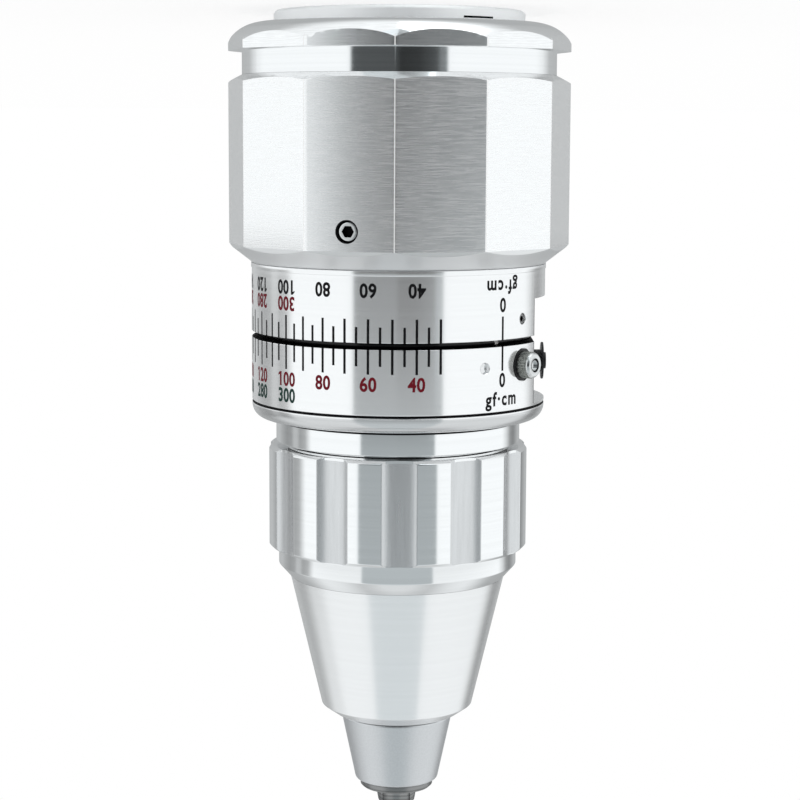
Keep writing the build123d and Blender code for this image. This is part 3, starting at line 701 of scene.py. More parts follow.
finish("turned_aluminium", ALUMINIUM, 0.09, rings(1.4), spread=0.05, dark=0.97)
finish("milled_aluminium", BAR_ALUMINIUM, 0.075, scratches(3.0, 0.14), depth=0.001, spread=0.08,
       metallic=0.9, dark=0.95, sheen=0.12)
finish("brushed_aluminium", BAR_ALUMINIUM, 0.075, scratches(3.0, 0.14), depth=0.0015, spread=0.10,
       metallic=0.78, dark=0.975, sheen=0.2)
finish("satin_aluminium", (0.91, 0.915, 0.92), 0.12, rings(1.8), spread=0.04, metallic=0.78,
       dark=0.985)
finish("soft_aluminium", ALUMINIUM, 0.20, rings(1.8), spread=0.04, metallic=0.85, dark=0.985)
finish("flute_aluminium", (0.68, 0.69, 0.70), 0.26, streaks(9.0, 0.6), spread=0.06, metallic=0.85,
       dark=0.93)
finish("edge_aluminium", (0.68, 0.685, 0.69), 0.14, rings(1.8), spread=0.04, metallic=0.85,
       dark=0.97)
finish("corner_aluminium", (0.92, 0.92, 0.92), 0.5, grain(0.5), spread=0.1, metallic=0.3)
finish("bevel_aluminium", (0.79, 0.795, 0.80), 0.42, rings(1.4), spread=0.08, metallic=0.9,
       dark=0.95)
finish("blasted_aluminium", (0.98, 0.985, 0.99), 0.5, grain(0.15), depth=0.001, spread=0.1,
       metallic=0.42)
finish("grey_aluminium", (0.70, 0.71, 0.725), 0.40, grain(0.25), depth=0.002, spread=0.10,
       dark=0.94)
finish("black_ring", (0.005, 0.005, 0.006), 0.12, rings(1.5), spread=0.1, metallic=0.0,
       **{SHINE: 0.25})
# The flat screw's own black; on the cap screw's washer the same black is painted shade round the head.
finish("black_steel", (0.008, 0.008, 0.009), 0.35, grain(0.15), depth=0.003, metallic=0.0,
       **{SHINE: 0.3})
finish("dark_steel", (0.30, 0.30, 0.30), 0.28, rings(2.0), spread=0.1, dark=0.6)
finish("knurled_steel", (0.34, 0.35, 0.33), 0.30, grain(0.3), depth=0.01, spread=0.2, dark=0.45)
finish("bright_steel", (0.74, 0.75, 0.75), 0.16, rings(2.0), spread=0.08, dark=0.9)
finish("spring_steel", (0.20, 0.24, 0.36), 0.25, grain(0.3), spread=0.1)
# Near-black paint that stands for shade in recesses (slot walls, groove, seam, holes, sockets, notch):
# painted shade.
finish("dark_gap", (0.004, 0.004, 0.005), 0.6, grain(0.2), spread=0.1, metallic=0.0,
       **{SHINE: 0.1})

for node in nodes.values():
    for place in node.material_slots:
        place.material = finishes[place.material.name.split(".")[0]]
print("finishes:", ", ".join(finishes))

# %% [markdown]
# ## The handle
#
# The end disc, the end cap, the grip and the first scale drum are fixed to each other. The disc is a
# plain turned plate that the gauge stands on, with a small pry notch in its seam to the cap. It is
# swept like every body here, and a box cuts the notch, because a box is all that such a cut is. The
# notch's walls are painted black as painted shade.

# %% Make the end disc
DISC_EDGE = 0.4
DISC_ROUNDING = 0.15
DISC_SPIGOT_STEP = 3.1
SPIGOT_HEIGHT = 1.0
NOTCH_ANGLE = -127.3
NOTCH_WIDTH = 5.2
NOTCH_HEIGHT = 0.45
NOTCH_DEPTH = 1.0


def box_mesh(low, high):
    """A box between two corners."""
    mesh = bmesh.new()
    bmesh.ops.create_cube(mesh, size=1.0)
    centre = (Vector(low) + Vector(high)) / 2
    size = Vector(high) - Vector(low)
    bmesh.ops.transform(mesh, verts=mesh.verts,
                        matrix=Matrix.Translation(centre) @ Matrix.Diagonal((*size, 1)))
    return mesh


def everywhere(radius, angle, level):
    """A test for dye that every face passes."""
    return True


disc_radius = reach("end_disc")
spigot_radius = disc_radius - DISC_SPIGOT_STEP
cap_base = disc_top - SPIGOT_HEIGHT
disc = swept(
    soften([(0, 0), (disc_radius - DISC_EDGE, 0), (disc_radius, DISC_EDGE), (disc_radius, cap_base)],
           DISC_ROUNDING)
    + [(spigot_radius, cap_base), (spigot_radius, disc_top), (0, disc_top)])
notch = box_mesh((disc_radius - NOTCH_DEPTH, -NOTCH_WIDTH / 2, cap_base - NOTCH_HEIGHT),
                 (disc_radius + NOTCH_DEPTH, NOTCH_WIDTH / 2, cap_base + NOTCH_HEIGHT / 2))
notch = placed(notch, Matrix.Rotation(math.radians(NOTCH_ANGLE), 4, "Z"))
# Painted shade: the notch's walls are painted black.
dye(notch, 1, everywhere)
make("end_disc_turned", disc, "handle", "turned_aluminium", ["end_disc"], [notch],
     ["blasted_aluminium", "dark_gap"])
print("end disc", round(2 * disc_radius, 1), "mm across")

# %% [markdown]
# The cap and the grip are cut from the same twelve-sided bar, and the corners between the facets are
# broken by a hair, which shows as a bright line. The bar's reach at an angle is that of the nearer
# of two facets, and a soft minimum of the two rounds the corner between them.

# %% Cut twelve facets
FACETS = 12
FIRST_CORNER = -88.7
BREAK = 0.08
CORNER_SPREAD = 0.34
CORNER_CLEAR = 0.5

facet_angle = FULL_TURN / FACETS
facet_corners = [FIRST_CORNER + index * facet_angle for index in range(FACETS)]
apothem = corner_radius * math.cos(math.pi / FACETS)


def facet_limit(angle):
    """How far the twelve-sided bar reaches at an angle."""
    turn = abs((angle - FIRST_CORNER) % facet_angle - facet_angle / 2)
    nearer, other = (apothem / math.cos(math.radians(off)) for off in (turn, facet_angle - turn))
    return soft_min(nearer, other, BREAK)


def on_corner(radius, angle, level):
    """Whether a face lies on one of the broken corners between two facets."""
    nearest = min(apart(angle, corner) for corner in facet_corners)
    return radius > apothem + CORNER_CLEAR and nearest < CORNER_SPREAD / 2


print("facets", FACETS, "each", round(2 * apothem * math.tan(math.pi / FACETS), 1), "mm wide")

# %% Make the end cap
CAP_FLANGE = 3.9
SHOULDER_WIDTH = 4.1
SHOULDER_HEIGHT = 2.8
SHOULDER_BULGE = 0.55
NECK_DEPTH = 2.1
NECK_CLEAR = 0.2
BAR_ROUNDING = 0.12
CAP_SPIGOT = 20.47
CAP_SPIGOT_WALL = 1.9
CAP_BOSS_WALL = 2.8
CLIP_POCKET_RADIUS = 5.4
CLIP_POCKET_DEPTH = 1.57

neck_radius = corner_radius - NECK_DEPTH
cap_step = cap_base + CAP_FLANGE
spigot_top = levels("end_cap")[1]
spigot_bore = CAP_SPIGOT - CAP_SPIGOT_WALL
bearing_base, bearing_top = levels("lower_bearing_outer_ring")
bearing_radius = reach("lower_bearing_outer_ring")
boss_radius = bearing_radius + CAP_BOSS_WALL
pocket_floor = bearing_base - CLIP_POCKET_DEPTH
shoulder = bow((corner_radius - SHOULDER_WIDTH, cap_base),
               (corner_radius, cap_base + SHOULDER_HEIGHT), SHOULDER_BULGE)
cap = swept(
    shoulder[:-1]
    + soften([shoulder[-1], (corner_radius, cap_step), (neck_radius, cap_step),
              (neck_radius, grip_base)], BAR_ROUNDING)
    + [(CAP_SPIGOT, grip_base), (CAP_SPIGOT, spigot_top), (spigot_bore, spigot_top),
       (spigot_bore, cap_step), (boss_radius, cap_step), (boss_radius, bearing_top),
       (bearing_radius, bearing_top), (bearing_radius, bearing_base),
       (CLIP_POCKET_RADIUS, bearing_base), (CLIP_POCKET_RADIUS, pocket_floor), (0, pocket_floor),
       (0, disc_top), (spigot_radius, disc_top), (spigot_radius, cap_base)],
    spaced(corners=facet_corners, spread=CORNER_SPREAD), facet_limit)
dye(cap, 1, lambda radius, angle, level: radius > neck_radius + NECK_CLEAR and level < cap_step)
dye(cap, 2, on_corner)
make("end_cap_faceted", cap, "handle", "turned_aluminium", ["end_cap"],
     looks=["turned_aluminium", "milled_aluminium", "corner_aluminium"])
print("cap's shoulder ends at", round(cap_base + SHOULDER_HEIGHT, 2), "mm")

# %% [markdown]
# The grip lies between two turned bevels. Three set screws, one to every fourth facet, clamp it to
# the drum inside. Their holes are cut by round meshes that widen at the mouth, and the walls of the
# holes are painted black as painted shade. A screw is swept standing up, the round of its socket is
# pushed out to a hexagon, the socket is painted black as painted shade, and it is laid along a radius.

# %% Shape round cutters and socket screws
SMALL_ROUNDING = 0.08
SMALL_STEP = 7.5
SCREW_STEP = 5.0
SCREW_POINT = 0.4
SCREW_PLAY = 0.03
SOCKET_LIP = 2.2
SOCKET_DRAFT = 0.02
SOCKET_SPREAD = 2.0
HEXAGON_CORNERS = [30 + 60 * side for side in range(6)]
CUT_OVER = 1.0


def hole_mesh(radius, start, end, flare=0.0, mouth=0.0, point=0.0):
    """A round cutter along its own Z, which may widen at its mouth and start with a point."""
    points = [(0, start - point), (radius, start)]
    if flare:
        points += [(radius, mouth - flare), (radius + flare, mouth)]
    return swept(points + [(radius + flare, end), (0, end)], spaced(step=SMALL_STEP))


def hexagon(angle):
    """How far a hexagon reaches at an angle, against the middle of its sides."""
    return 1 / math.cos(math.radians((angle + 30) % 60 - 30))


def socket_screw(radius, length, socket, depth, edge):
    """A set screw standing on its own origin, with a hexagonal socket in its top, painted black as
    painted shade.
    """
    across, floor_level = socket / 2, length - depth
    mesh = swept(
        soften([(0, 0), (radius - SCREW_POINT, 0), (radius, SCREW_POINT), (radius, length - edge),
                (radius - edge, length), (radius - SOCKET_LIP * edge, length)], SMALL_ROUNDING)
        + [(across + SOCKET_DRAFT, length), (across, floor_level), (0, floor_level)],
        spaced(step=SCREW_STEP, corners=HEXAGON_CORNERS, spread=SOCKET_SPREAD))
    # Painted shade: the socket's walls and floor are painted black.
    dye(mesh, 1, lambda reached, angle, level: reached < across + SOCKET_DRAFT
        and level > floor_level - SOCKET_DRAFT)
    for vertex in mesh.verts:
        reached = math.hypot(vertex.co.x, vertex.co.y)
        if vertex.co.z > floor_level - SOCKET_DRAFT and abs(reached - across) < 2 * SOCKET_DRAFT:
            vertex.co.xy *= hexagon(math.degrees(math.atan2(vertex.co.y, vertex.co.x)))
    return mesh


print("a hexagon's corner reaches", round(hexagon(30), 3), "times as far as its side")

# %% Make the grip and its screws
GRIP_BEVEL_DROP = 3.5
GRIP_BEVEL_LENGTH = 2.7
GRIP_LOWER_BEVEL = 1.1
GRIP_BORE = 20.5
BORE_CLEAR = 0.1
SET_SCREWS = 3
FIRST_SET_SCREW = -73.0
SET_SCREW_BELOW_TOP = 5.4
SET_SCREW_RADIUS = 1.5
SET_SCREW_LENGTH = 3.0
SET_SCREW_SOCKET = 1.5
SET_SCREW_SOCKET_DEPTH = 1.2
SET_SCREW_EDGE = 0.2
SET_SCREW_FLARE = 0.12

bevel_base = grip_top - GRIP_BEVEL_LENGTH
grip = swept(
    soften([(GRIP_BORE, grip_base), (neck_radius, grip_base),
            (corner_radius, grip_base + GRIP_LOWER_BEVEL), (corner_radius, bevel_base),
            (corner_radius - GRIP_BEVEL_DROP, grip_top), (GRIP_BORE, grip_top)], BAR_ROUNDING),
    spaced(corners=facet_corners, spread=CORNER_SPREAD), facet_limit)
screw_angles = [FIRST_SET_SCREW + index * FULL_TURN / SET_SCREWS for index in range(SET_SCREWS)]
screw_level = grip_top - SET_SCREW_BELOW_TOP
screw_hole = hole_mesh(SET_SCREW_RADIUS, GRIP_BORE - CUT_OVER, apothem + 2 * CUT_OVER,
                       flare=SET_SCREW_FLARE, mouth=apothem)
dye(grip, 1, on_corner)
dye(grip, 2, lambda radius, angle, level: radius > GRIP_BORE + BORE_CLEAR and level > bevel_base)
# Painted shade: the walls of the screw holes are painted black.
dye(screw_hole, 3, everywhere)
make("grip_faceted", grip, "handle", "brushed_aluminium", ["grip"],
     [placed(screw_hole, *(radial(angle, screw_level) for angle in screw_angles))],
     ["brushed_aluminium", "corner_aluminium", "bevel_aluminium", "dark_gap"])
screw = socket_screw(SET_SCREW_RADIUS - SCREW_PLAY, SET_SCREW_LENGTH, SET_SCREW_SOCKET,
                     SET_SCREW_SOCKET_DEPTH, SET_SCREW_EDGE)
make("grip_screws", placed(screw, *(radial(angle, screw_level, CAP_SPIGOT) for angle in screw_angles)),
     "handle", "bright_steel", ["grip_set_screws"], looks=["bright_steel", "dark_gap"])
print("grip", round(2 * apothem, 1), "mm across its flats")

# %% [markdown]
# ## The two drums and the marker ring
#
# One flat is milled across both drums and the slot between them. A level that the flat ends at has
# two points in the outline, one that the flat leaves alone and one that it cuts, and between them
# lies the flat's end face. The edge between the flat and the drum is dark in the photograph, so a
# narrow strip there is painted black as painted shade.

# %% Mill the flat
FLAT_DEPTH = 2.0
FLAT_ANGLE = 180.0
FLAT_BELOW_SLOT = 5.3
FLAT_ABOVE_SLOT = 8.8
FLAT_EDGE_SPREAD = 1.0
FLAT_EDGE_SHADE_DEPTH = 0.2
DRUM_BREAK = 0.05
LEVEL_CLEAR = 0.1

slot_base, slot_top = handle_drum_top, chuck_drum_base
flat_distance = drum_radius - FLAT_DEPTH
flat_half = math.degrees(math.acos(flat_distance / drum_radius))
flat_corners = [FLAT_ANGLE - flat_half, FLAT_ANGLE + flat_half]
flat_base = slot_base - FLAT_BELOW_SLOT
flat_end = slot_top + FLAT_ABOVE_SLOT


def flat_limit(angle):
    """How far the drums reach at an angle where the flat is."""
    turn = apart(angle, FLAT_ANGLE)
    if turn > 2 * flat_half:
        return drum_radius
    return soft_min(drum_radius, flat_distance / math.cos(math.radians(turn)), DRUM_BREAK)


def on_flat_edge(radius, angle, level):
    """Whether a face lies on the line where the flat meets the drum, which is painted black as painted
    shade.
    """
    nearest = min(apart(angle, corner) for corner in flat_corners)
    return (nearest < FLAT_EDGE_SPREAD / 2 and radius > drum_radius - FLAT_EDGE_SHADE_DEPTH
            and flat_base + LEVEL_CLEAR < level < flat_end - LEVEL_CLEAR)


print("flat from", round(flat_base, 2), "to", round(flat_end, 2), "mm")

# %% Sweep the handle's drum
DRUM_WALL = 3.2
DRUM_ROUNDING = 0.1
DRUM_RIM_STEP = 0.1
DRUM_RIM_HEIGHT = 0.7
RIM_ROUNDING = 0.06
SPIGOT_WALL = 2.95
WEB_LIP = 1.5
LIP_RADIUS = 5.1
BOSS_WALL = 3.0
CLIP_ROOM = 1.86
BEARING_PLAY = 0.03

drum_bore = drum_radius - DRUM_WALL
rim = drum_radius + DRUM_RIM_STEP
web_top = grip_top + DRUM_RIM_HEIGHT
spigot_foot = levels("handle_drum")[0]
spigot_inside = CAP_SPIGOT - SPIGOT_WALL
upper_base, upper_top = levels("upper_bearing_outer_ring")
upper_radius = reach("upper_bearing_outer_ring") + BEARING_PLAY
upper_boss = upper_radius + BOSS_WALL
boss_top = upper_top + CLIP_ROOM
lip_base = upper_base - WEB_LIP
handle_drum = swept(
    uncut(soften([(CAP_SPIGOT, grip_top), (rim, grip_top), (rim, web_top), (drum_radius, web_top),
                  (drum_radius, flat_base)], RIM_ROUNDING))
    + soften([(drum_radius, flat_base), (drum_radius, slot_base), (drum_bore, slot_base)],
             DRUM_ROUNDING)
    + uncut([(drum_bore, web_top), (upper_boss, web_top), (upper_boss, boss_top),
             (upper_radius, boss_top), (upper_radius, upper_base), (LIP_RADIUS, upper_base),
             (LIP_RADIUS, lip_base), (upper_boss, lip_base), (upper_boss, upper_base),
             (spigot_inside, upper_base), (spigot_inside, spigot_foot), (CAP_SPIGOT, spigot_foot)]),
    spaced(corners=flat_corners, spread=FLAT_EDGE_SPREAD), flat_limit)
print("handle's drum from", round(grip_top, 2), "to", round(slot_base, 2), "mm")

# %% Bore it for the brake screw
FACE_NEAR = 0.005
BRAKE_SCREW_ANGLE = -145.0
BRAKE_SCREW_BELOW_SLOT = 2.7
BRAKE_SCREW_RADIUS = 0.8
BRAKE_SCREW_LENGTH = 3.0
BRAKE_SCREW_SOCKET = 0.7
BRAKE_SCREW_SOCKET_DEPTH = 0.8
BRAKE_SCREW_EDGE = 0.12
BRAKE_SCREW_FLARE = 0.06

brake_level = slot_base - BRAKE_SCREW_BELOW_SLOT
brake_hole = hole_mesh(BRAKE_SCREW_RADIUS, drum_bore - CUT_OVER, drum_radius + CUT_OVER,
                       flare=BRAKE_SCREW_FLARE, mouth=drum_radius)
# Painted shade: the edge of the flat and the drum's face towards the slot are painted black.
dye(handle_drum, 1, on_flat_edge)
dye(handle_drum, 1, lambda radius, angle, level: level > slot_base - FACE_NEAR)
make("handle_drum_turned", handle_drum, "handle", "satin_aluminium", ["handle_drum"],
     [placed(brake_hole, radial(BRAKE_SCREW_ANGLE, brake_level))], ["satin_aluminium", "dark_gap"])
brake_screw = socket_screw(BRAKE_SCREW_RADIUS - SCREW_PLAY, BRAKE_SCREW_LENGTH, BRAKE_SCREW_SOCKET,
                           BRAKE_SCREW_SOCKET_DEPTH, BRAKE_SCREW_EDGE)
make("brake_screw", placed(brake_screw, radial(BRAKE_SCREW_ANGLE, brake_level, drum_bore)),
     "handle", "dark_steel", ["marker_brake_screw"], looks=["dark_steel", "dark_gap"])
print("brake screw at", round(brake_level, 2), "mm")

# %% Make the marker ring
MARKER_RECESS = 2.05
MARKER_WALL = 0.5
MARKER_PLAY = 0.1

marker_radius = drum_radius - MARKER_RECESS
marker_skirt = drum_bore - MARKER_PLAY
marker_bore = marker_skirt - MARKER_WALL
marker_base = slot_base + MARKER_PLAY
marker_foot, marker_top = levels("marker_ring")
marker = swept(
    soften([(marker_skirt, marker_base), (marker_radius, marker_base), (marker_radius, marker_top),
            (marker_bore, marker_top)], SMALL_ROUNDING)
    + [(marker_bore, marker_foot), (marker_skirt, marker_foot)])
make("marker_ring_turned", marker, "marker", "black_ring", ["marker_ring"])
print("marker ring", round(marker_top - marker_base, 2), "mm wide in the slot")

# %% [markdown]
# The chuck's drum has a fine groove round it, painted black as painted shade, and a large rounded
# edge above. Three round cuts go into its wall: a spot face and a bore for the cap screw, a bore for
# the screw on the flat, and a pointed dimple beside the zero line.

# %% Sweep the chuck's drum
CHUCK_DRUM_WALL = 2.95
WEB_THICKNESS = 1.05
WEB_BORE = 12.0
EDGE_GROOVE = 0.22
GROOVE_ROUNDING = 0.04
EDGE_BAND = 0.6
EDGE_DROP = 1.7
EDGE_LENGTH = 2.6
EDGE_STEPS = 12

chuck_bore = drum_radius - CHUCK_DRUM_WALL
web_base = chuck_drum_top - WEB_THICKNESS
edge_base = chuck_drum_top - EDGE_LENGTH
groove_top = edge_base + 2 * EDGE_GROOVE
band_top = edge_base + EDGE_BAND
edge_turns = [math.radians(90 * step / EDGE_STEPS) for step in range(1, EDGE_STEPS + 1)]
round_edge = [(drum_radius - EDGE_DROP * (1 - math.cos(turn)),
               band_top + (EDGE_LENGTH - EDGE_BAND) * math.sin(turn)) for turn in edge_turns]
chuck_drum = swept(
    soften([(chuck_bore, slot_top), (drum_radius, slot_top), (drum_radius, flat_end)], DRUM_ROUNDING)
    + uncut([(drum_radius, flat_end)]
            + soften([(drum_radius, flat_end + LEVEL_CLEAR), (drum_radius, edge_base),
                      (drum_radius - EDGE_GROOVE, edge_base + EDGE_GROOVE),
                      (drum_radius, groove_top), (drum_radius, band_top)], GROOVE_ROUNDING)
            + round_edge
            + [(WEB_BORE, chuck_drum_top), (WEB_BORE, web_base), (chuck_bore, web_base)]),
    spaced(corners=flat_corners, spread=FLAT_EDGE_SPREAD), flat_limit)
print("chuck's drum from", round(slot_top, 2), "to", round(chuck_drum_top, 2), "mm")

# %% Cut its holes
SCREW_ABOVE_SLOT = 2.9
CAP_SCREW_ANGLE = -145.5
CAP_SCREW_BORE = 1.1
WASHER_RADIUS = 2.28
SPOT_FACE_DEPTH = 0.35
SPOT_FACE_PLAY = 0.12
FLAT_SCREW_BORE = 1.35
FLAT_SCREW_RISE = 0.7
DIMPLE_ANGLE = -124.4
DIMPLE_RADIUS = 0.75
DIMPLE_DEPTH = 0.8
DIMPLE_FLARE = 0.12
DIMPLE_MOUTH = 0.02
GROOVE_CLEAR = 0.06
EDGE_CLEAR = 0.01

drum_screw_level = slot_top + SCREW_ABOVE_SLOT
cap_place = radial(CAP_SCREW_ANGLE, drum_screw_level)
flat_place = radial(FLAT_ANGLE, drum_screw_level + FLAT_SCREW_RISE)
dimple = hole_mesh(DIMPLE_RADIUS, drum_radius - DIMPLE_DEPTH, drum_radius + CUT_OVER,
                   flare=DIMPLE_FLARE, mouth=drum_radius + DIMPLE_MOUTH, point=DIMPLE_RADIUS / 2)
spot_face = hole_mesh(WASHER_RADIUS + SPOT_FACE_PLAY, drum_radius - SPOT_FACE_DEPTH,
                      drum_radius + CUT_OVER)
cap_bore, flat_bore = (hole_mesh(radius, chuck_bore - CUT_OVER, drum_radius)
                       for radius in (CAP_SCREW_BORE, FLAT_SCREW_BORE))
# Painted shade: the edge of the flat, the face towards the slot and the groove are painted black.
dye(chuck_drum, 1, on_flat_edge)
dye(chuck_drum, 1, lambda radius, angle, level: level < slot_top + FACE_NEAR)
dye(chuck_drum, 1, lambda radius, angle, level: radius > drum_radius - EDGE_GROOVE
    and edge_base + GROOVE_CLEAR < level < groove_top - GROOVE_CLEAR)
dye(chuck_drum, 2, lambda radius, angle, level: radius > WEB_BORE + 1
    and band_top < level < chuck_drum_top - EDGE_CLEAR)
make("chuck_drum_turned", chuck_drum, "spindle", "satin_aluminium", ["chuck_drum"],
     [placed(dimple, radial(DIMPLE_ANGLE, drum_screw_level)), placed(spot_face, cap_place),
      placed(cap_bore, cap_place), placed(flat_bore, flat_place)],
     ["satin_aluminium", "dark_gap", "edge_aluminium"])
print("cap screw at", round(drum_screw_level, 2), "mm")

# %% [markdown]
# ## The chuck
#
# The flange, the fluted ring, the big cone and the nose cone are turned pieces. The flange stands
# off its neighbours by a narrow seam; its face in the seam on the side of the drum is painted black
# as painted shade.

# %% Make the flange
SEAM = 0.35
FLANGE_BOSS = 16.2
FLANGE_BORE = 5.03
FLANGE_LENGTH = 4.0
FLANGE_ROUNDING = 0.2
SPIGOT_PLAY = 0.03

flange_radius = reach("chuck_flange")
flange_base, flange_end = chuck_drum_top, chuck_drum_top + FLANGE_LENGTH
flange_spigot = WEB_BORE - SPIGOT_PLAY
flange = swept(
    [(flange_spigot, flange_base)]
    + soften([(FLANGE_BOSS, flange_base), (FLANGE_BOSS, flange_base + SEAM),
              (flange_radius, flange_base + SEAM), (flange_radius, flange_end - SEAM),
              (FLANGE_BOSS, flange_end - SEAM), (FLANGE_BOSS, flange_end)], FLANGE_ROUNDING)
    + [(FLANGE_BORE, flange_end), (FLANGE_BORE, web_base), (flange_spigot, web_base)])
# Painted shade: the flange's face in the seam towards the drum is painted black.
dye(flange, 1, lambda radius, angle, level: level < flange_base + SEAM + FLANGE_ROUNDING)
make("chuck_flange_turned", flange, "spindle", "turned_aluminium", ["chuck_flange"],
     looks=["turned_aluminium", "dark_gap"])
print("flange", round(2 * flange_radius, 1), "mm across")

# %% [markdown]
# The ring's flutes are milled along it with a round cutter, so the ring's reach at an angle is the
# near side of the cutter's circle. The columns of the sweep are finer here, and one lies on the
# middle of each flute. The floors of the flutes are duller than the turned lands between them.

# %% Make the fluted ring
RING_BEVEL = 0.45
RING_ROUNDING = 0.1
BAND_RADIUS = 17.56
BAND_LENGTH = 2.6
BAND_BEVEL = 1.9
CONE_BASE_RADIUS = 15.85
CONE_SPIGOT = 14.5
LIP_BORE = 12.5
LIP_LENGTH = 3.0
FLUTES = 12
FLUTE_WIDTH_ANGLE = 15.6
FLUTE_CUTTER = 6.4
FIRST_FLUTE = -90.8
FLUTE_BREAK = 0.06
FLUTE_STEP = 0.6
LAND_CLEAR = 0.05

ring_base, cone_base = levels("chuck_ring")
ring_radius = reach("chuck_ring")
band_bevel_base = cone_base - BAND_BEVEL
band_base = band_bevel_base - BAND_LENGTH
lip_top = ring_base + LIP_LENGTH
half_turn = math.radians(FLUTE_WIDTH_ANGLE / 2)
cutter_centre = (ring_radius * math.cos(half_turn)
                 + math.sqrt(FLUTE_CUTTER ** 2 - (ring_radius * math.sin(half_turn)) ** 2))
flute_middles = [FIRST_FLUTE + index * FULL_TURN / FLUTES for index in range(FLUTES)]


def off_flute(angle):
    """The angle from the middle of the nearest flute."""
    return min(apart(angle, middle) for middle in flute_middles)


def flute_limit(angle):
    """How far the fluted ring reaches at an angle."""
    turn = math.radians(off_flute(angle))
    across = cutter_centre * math.sin(turn)
    if across > FLUTE_CUTTER:
        return ring_radius
    near_side = cutter_centre * math.cos(turn) - math.sqrt(FLUTE_CUTTER ** 2 - across ** 2)
    return soft_min(ring_radius, near_side, FLUTE_BREAK)


fluted_ring = swept(
    soften([(LIP_BORE, ring_base), (ring_radius - RING_BEVEL, ring_base),
            (ring_radius, ring_base + RING_BEVEL), (ring_radius, band_base - RING_BEVEL),
            (ring_radius - RING_BEVEL, band_base), (BAND_RADIUS, band_base),
            (BAND_RADIUS, band_bevel_base), (CONE_BASE_RADIUS, cone_base), (CONE_SPIGOT, cone_base)],
           RING_ROUNDING)
    + [(CONE_SPIGOT, lip_top), (LIP_BORE, lip_top)],
    spaced(step=FLUTE_STEP, first=FIRST_FLUTE), flute_limit)
dye(fluted_ring, 1, lambda radius, angle, level: BAND_RADIUS < radius < ring_radius - LAND_CLEAR
    and ring_base + RING_BEVEL / 2 < level < band_base - RING_BEVEL / 2
    and off_flute(angle) < FLUTE_WIDTH_ANGLE / 2)
make("chuck_ring_fluted", fluted_ring, "chuck_sleeve", "turned_aluminium", ["chuck_ring"],
     looks=["turned_aluminium", "flute_aluminium"])
print("flutes", FLUTES, "to", round(cutter_centre - FLUTE_CUTTER, 2), "mm from the axis")

# %% Make the two cones
CONE_TIP_RADIUS = 11.2
CONE_EDGE_RADIUS = 9.2
CONE_EDGE_LENGTH = 1.4
NOSE_BASE_RADIUS = 8.25
NOSE_TIP_RADIUS = 6.12
NOSE_WALL = 0.8
NOSE_EDGE = 0.45
NOSE_PLAY = 0.25
NUT_RADIUS = 11.3
COLLAR_BORE = 9.1
COLLAR_LENGTH = 4.5

nut_base, nut_top = levels("jaw_nut")
cone_foot, cone_end = levels("chuck_cone")
nose_base, nose_end = levels("nose_cone")
front_bore = NOSE_BASE_RADIUS + NOSE_PLAY
collar_top = nut_top + COLLAR_LENGTH
cone_spigot = CONE_SPIGOT - SPIGOT_PLAY
cone = swept(
    [(LIP_BORE, cone_foot), (cone_spigot, cone_foot), (cone_spigot, cone_base)]
    + soften([(CONE_BASE_RADIUS, cone_base), (CONE_TIP_RADIUS, cone_end - CONE_EDGE_LENGTH),
              (CONE_EDGE_RADIUS, cone_end), (front_bore, cone_end), (front_bore, collar_top)],
             RING_ROUNDING)
    + [(COLLAR_BORE, collar_top), (COLLAR_BORE, nut_top), (NUT_RADIUS, nut_top),
       (NUT_RADIUS, nut_base), (LIP_BORE, nut_base)])
make("chuck_cone_turned", cone, "chuck_sleeve", "satin_aluminium", ["chuck_cone"],
     looks=["soft_aluminium"])
nose = swept(
    soften([(NOSE_BASE_RADIUS - NOSE_WALL, nose_base), (NOSE_BASE_RADIUS, nose_base),
            (NOSE_TIP_RADIUS, nose_end), (NOSE_TIP_RADIUS - NOSE_WALL, nose_end)], NOSE_EDGE))
make("nose_cone_turned", nose, "spindle", "grey_aluminium", ["nose_cone"])
print("cone", round(cone_end - cone_base, 1), "mm long, nose", round(nose_end - nose_base, 1), "mm")

# %% [markdown]
# ## The drum's screws
#
# A knurled socket cap screw on a washer locks the chuck's drum, and a flanged screw with a small
# boss sits on the flat. The washer is painted black as painted shade round the foot of the head.
# Both are small lathe jobs, so the same sweep makes them, and the knurl is a wave in the limit on
# the radius.

# %% Make the cap screw and its washer
HEAD_RADIUS = 1.9
HEAD_HEIGHT = 2.0
KNURLS = 36
KNURL_DEPTH = 0.09
KNURL_STEP = 2.5
KNURL_BELOW_TOP = 0.55
RIM_HEIGHT = 0.5
RIM_STEP = 0.1
RIM_BEVEL_HEIGHT = 0.3
RIM_BEVEL_STEP = 0.35
HEAD_SOCKET_RADIUS = 0.75
HEAD_SOCKET_DEPTH = 0.45
SOCKET_BEVEL_WIDTH = 0.25
SOCKET_BEVEL_DEPTH = 0.12
SHANK_RADIUS = 0.97
SHANK_LENGTH = 7.0
WASHER_BORE = 1.03
WASHER_THICKNESS = 0.4

washer_seat = drum_radius - SPOT_FACE_DEPTH
head_seat = washer_seat + WASHER_THICKNESS
head_top = head_seat + HEAD_HEIGHT
shank_end = head_top - SHANK_LENGTH
socket_mouth = HEAD_SOCKET_RADIUS + SOCKET_BEVEL_WIDTH
socket_floor = head_top - HEAD_SOCKET_DEPTH


def knurl_limit(angle):
    """The side of a knurled head, a wave round it."""
    return HEAD_RADIUS - KNURL_DEPTH * abs(math.sin(math.radians(angle * KNURLS / 2)))


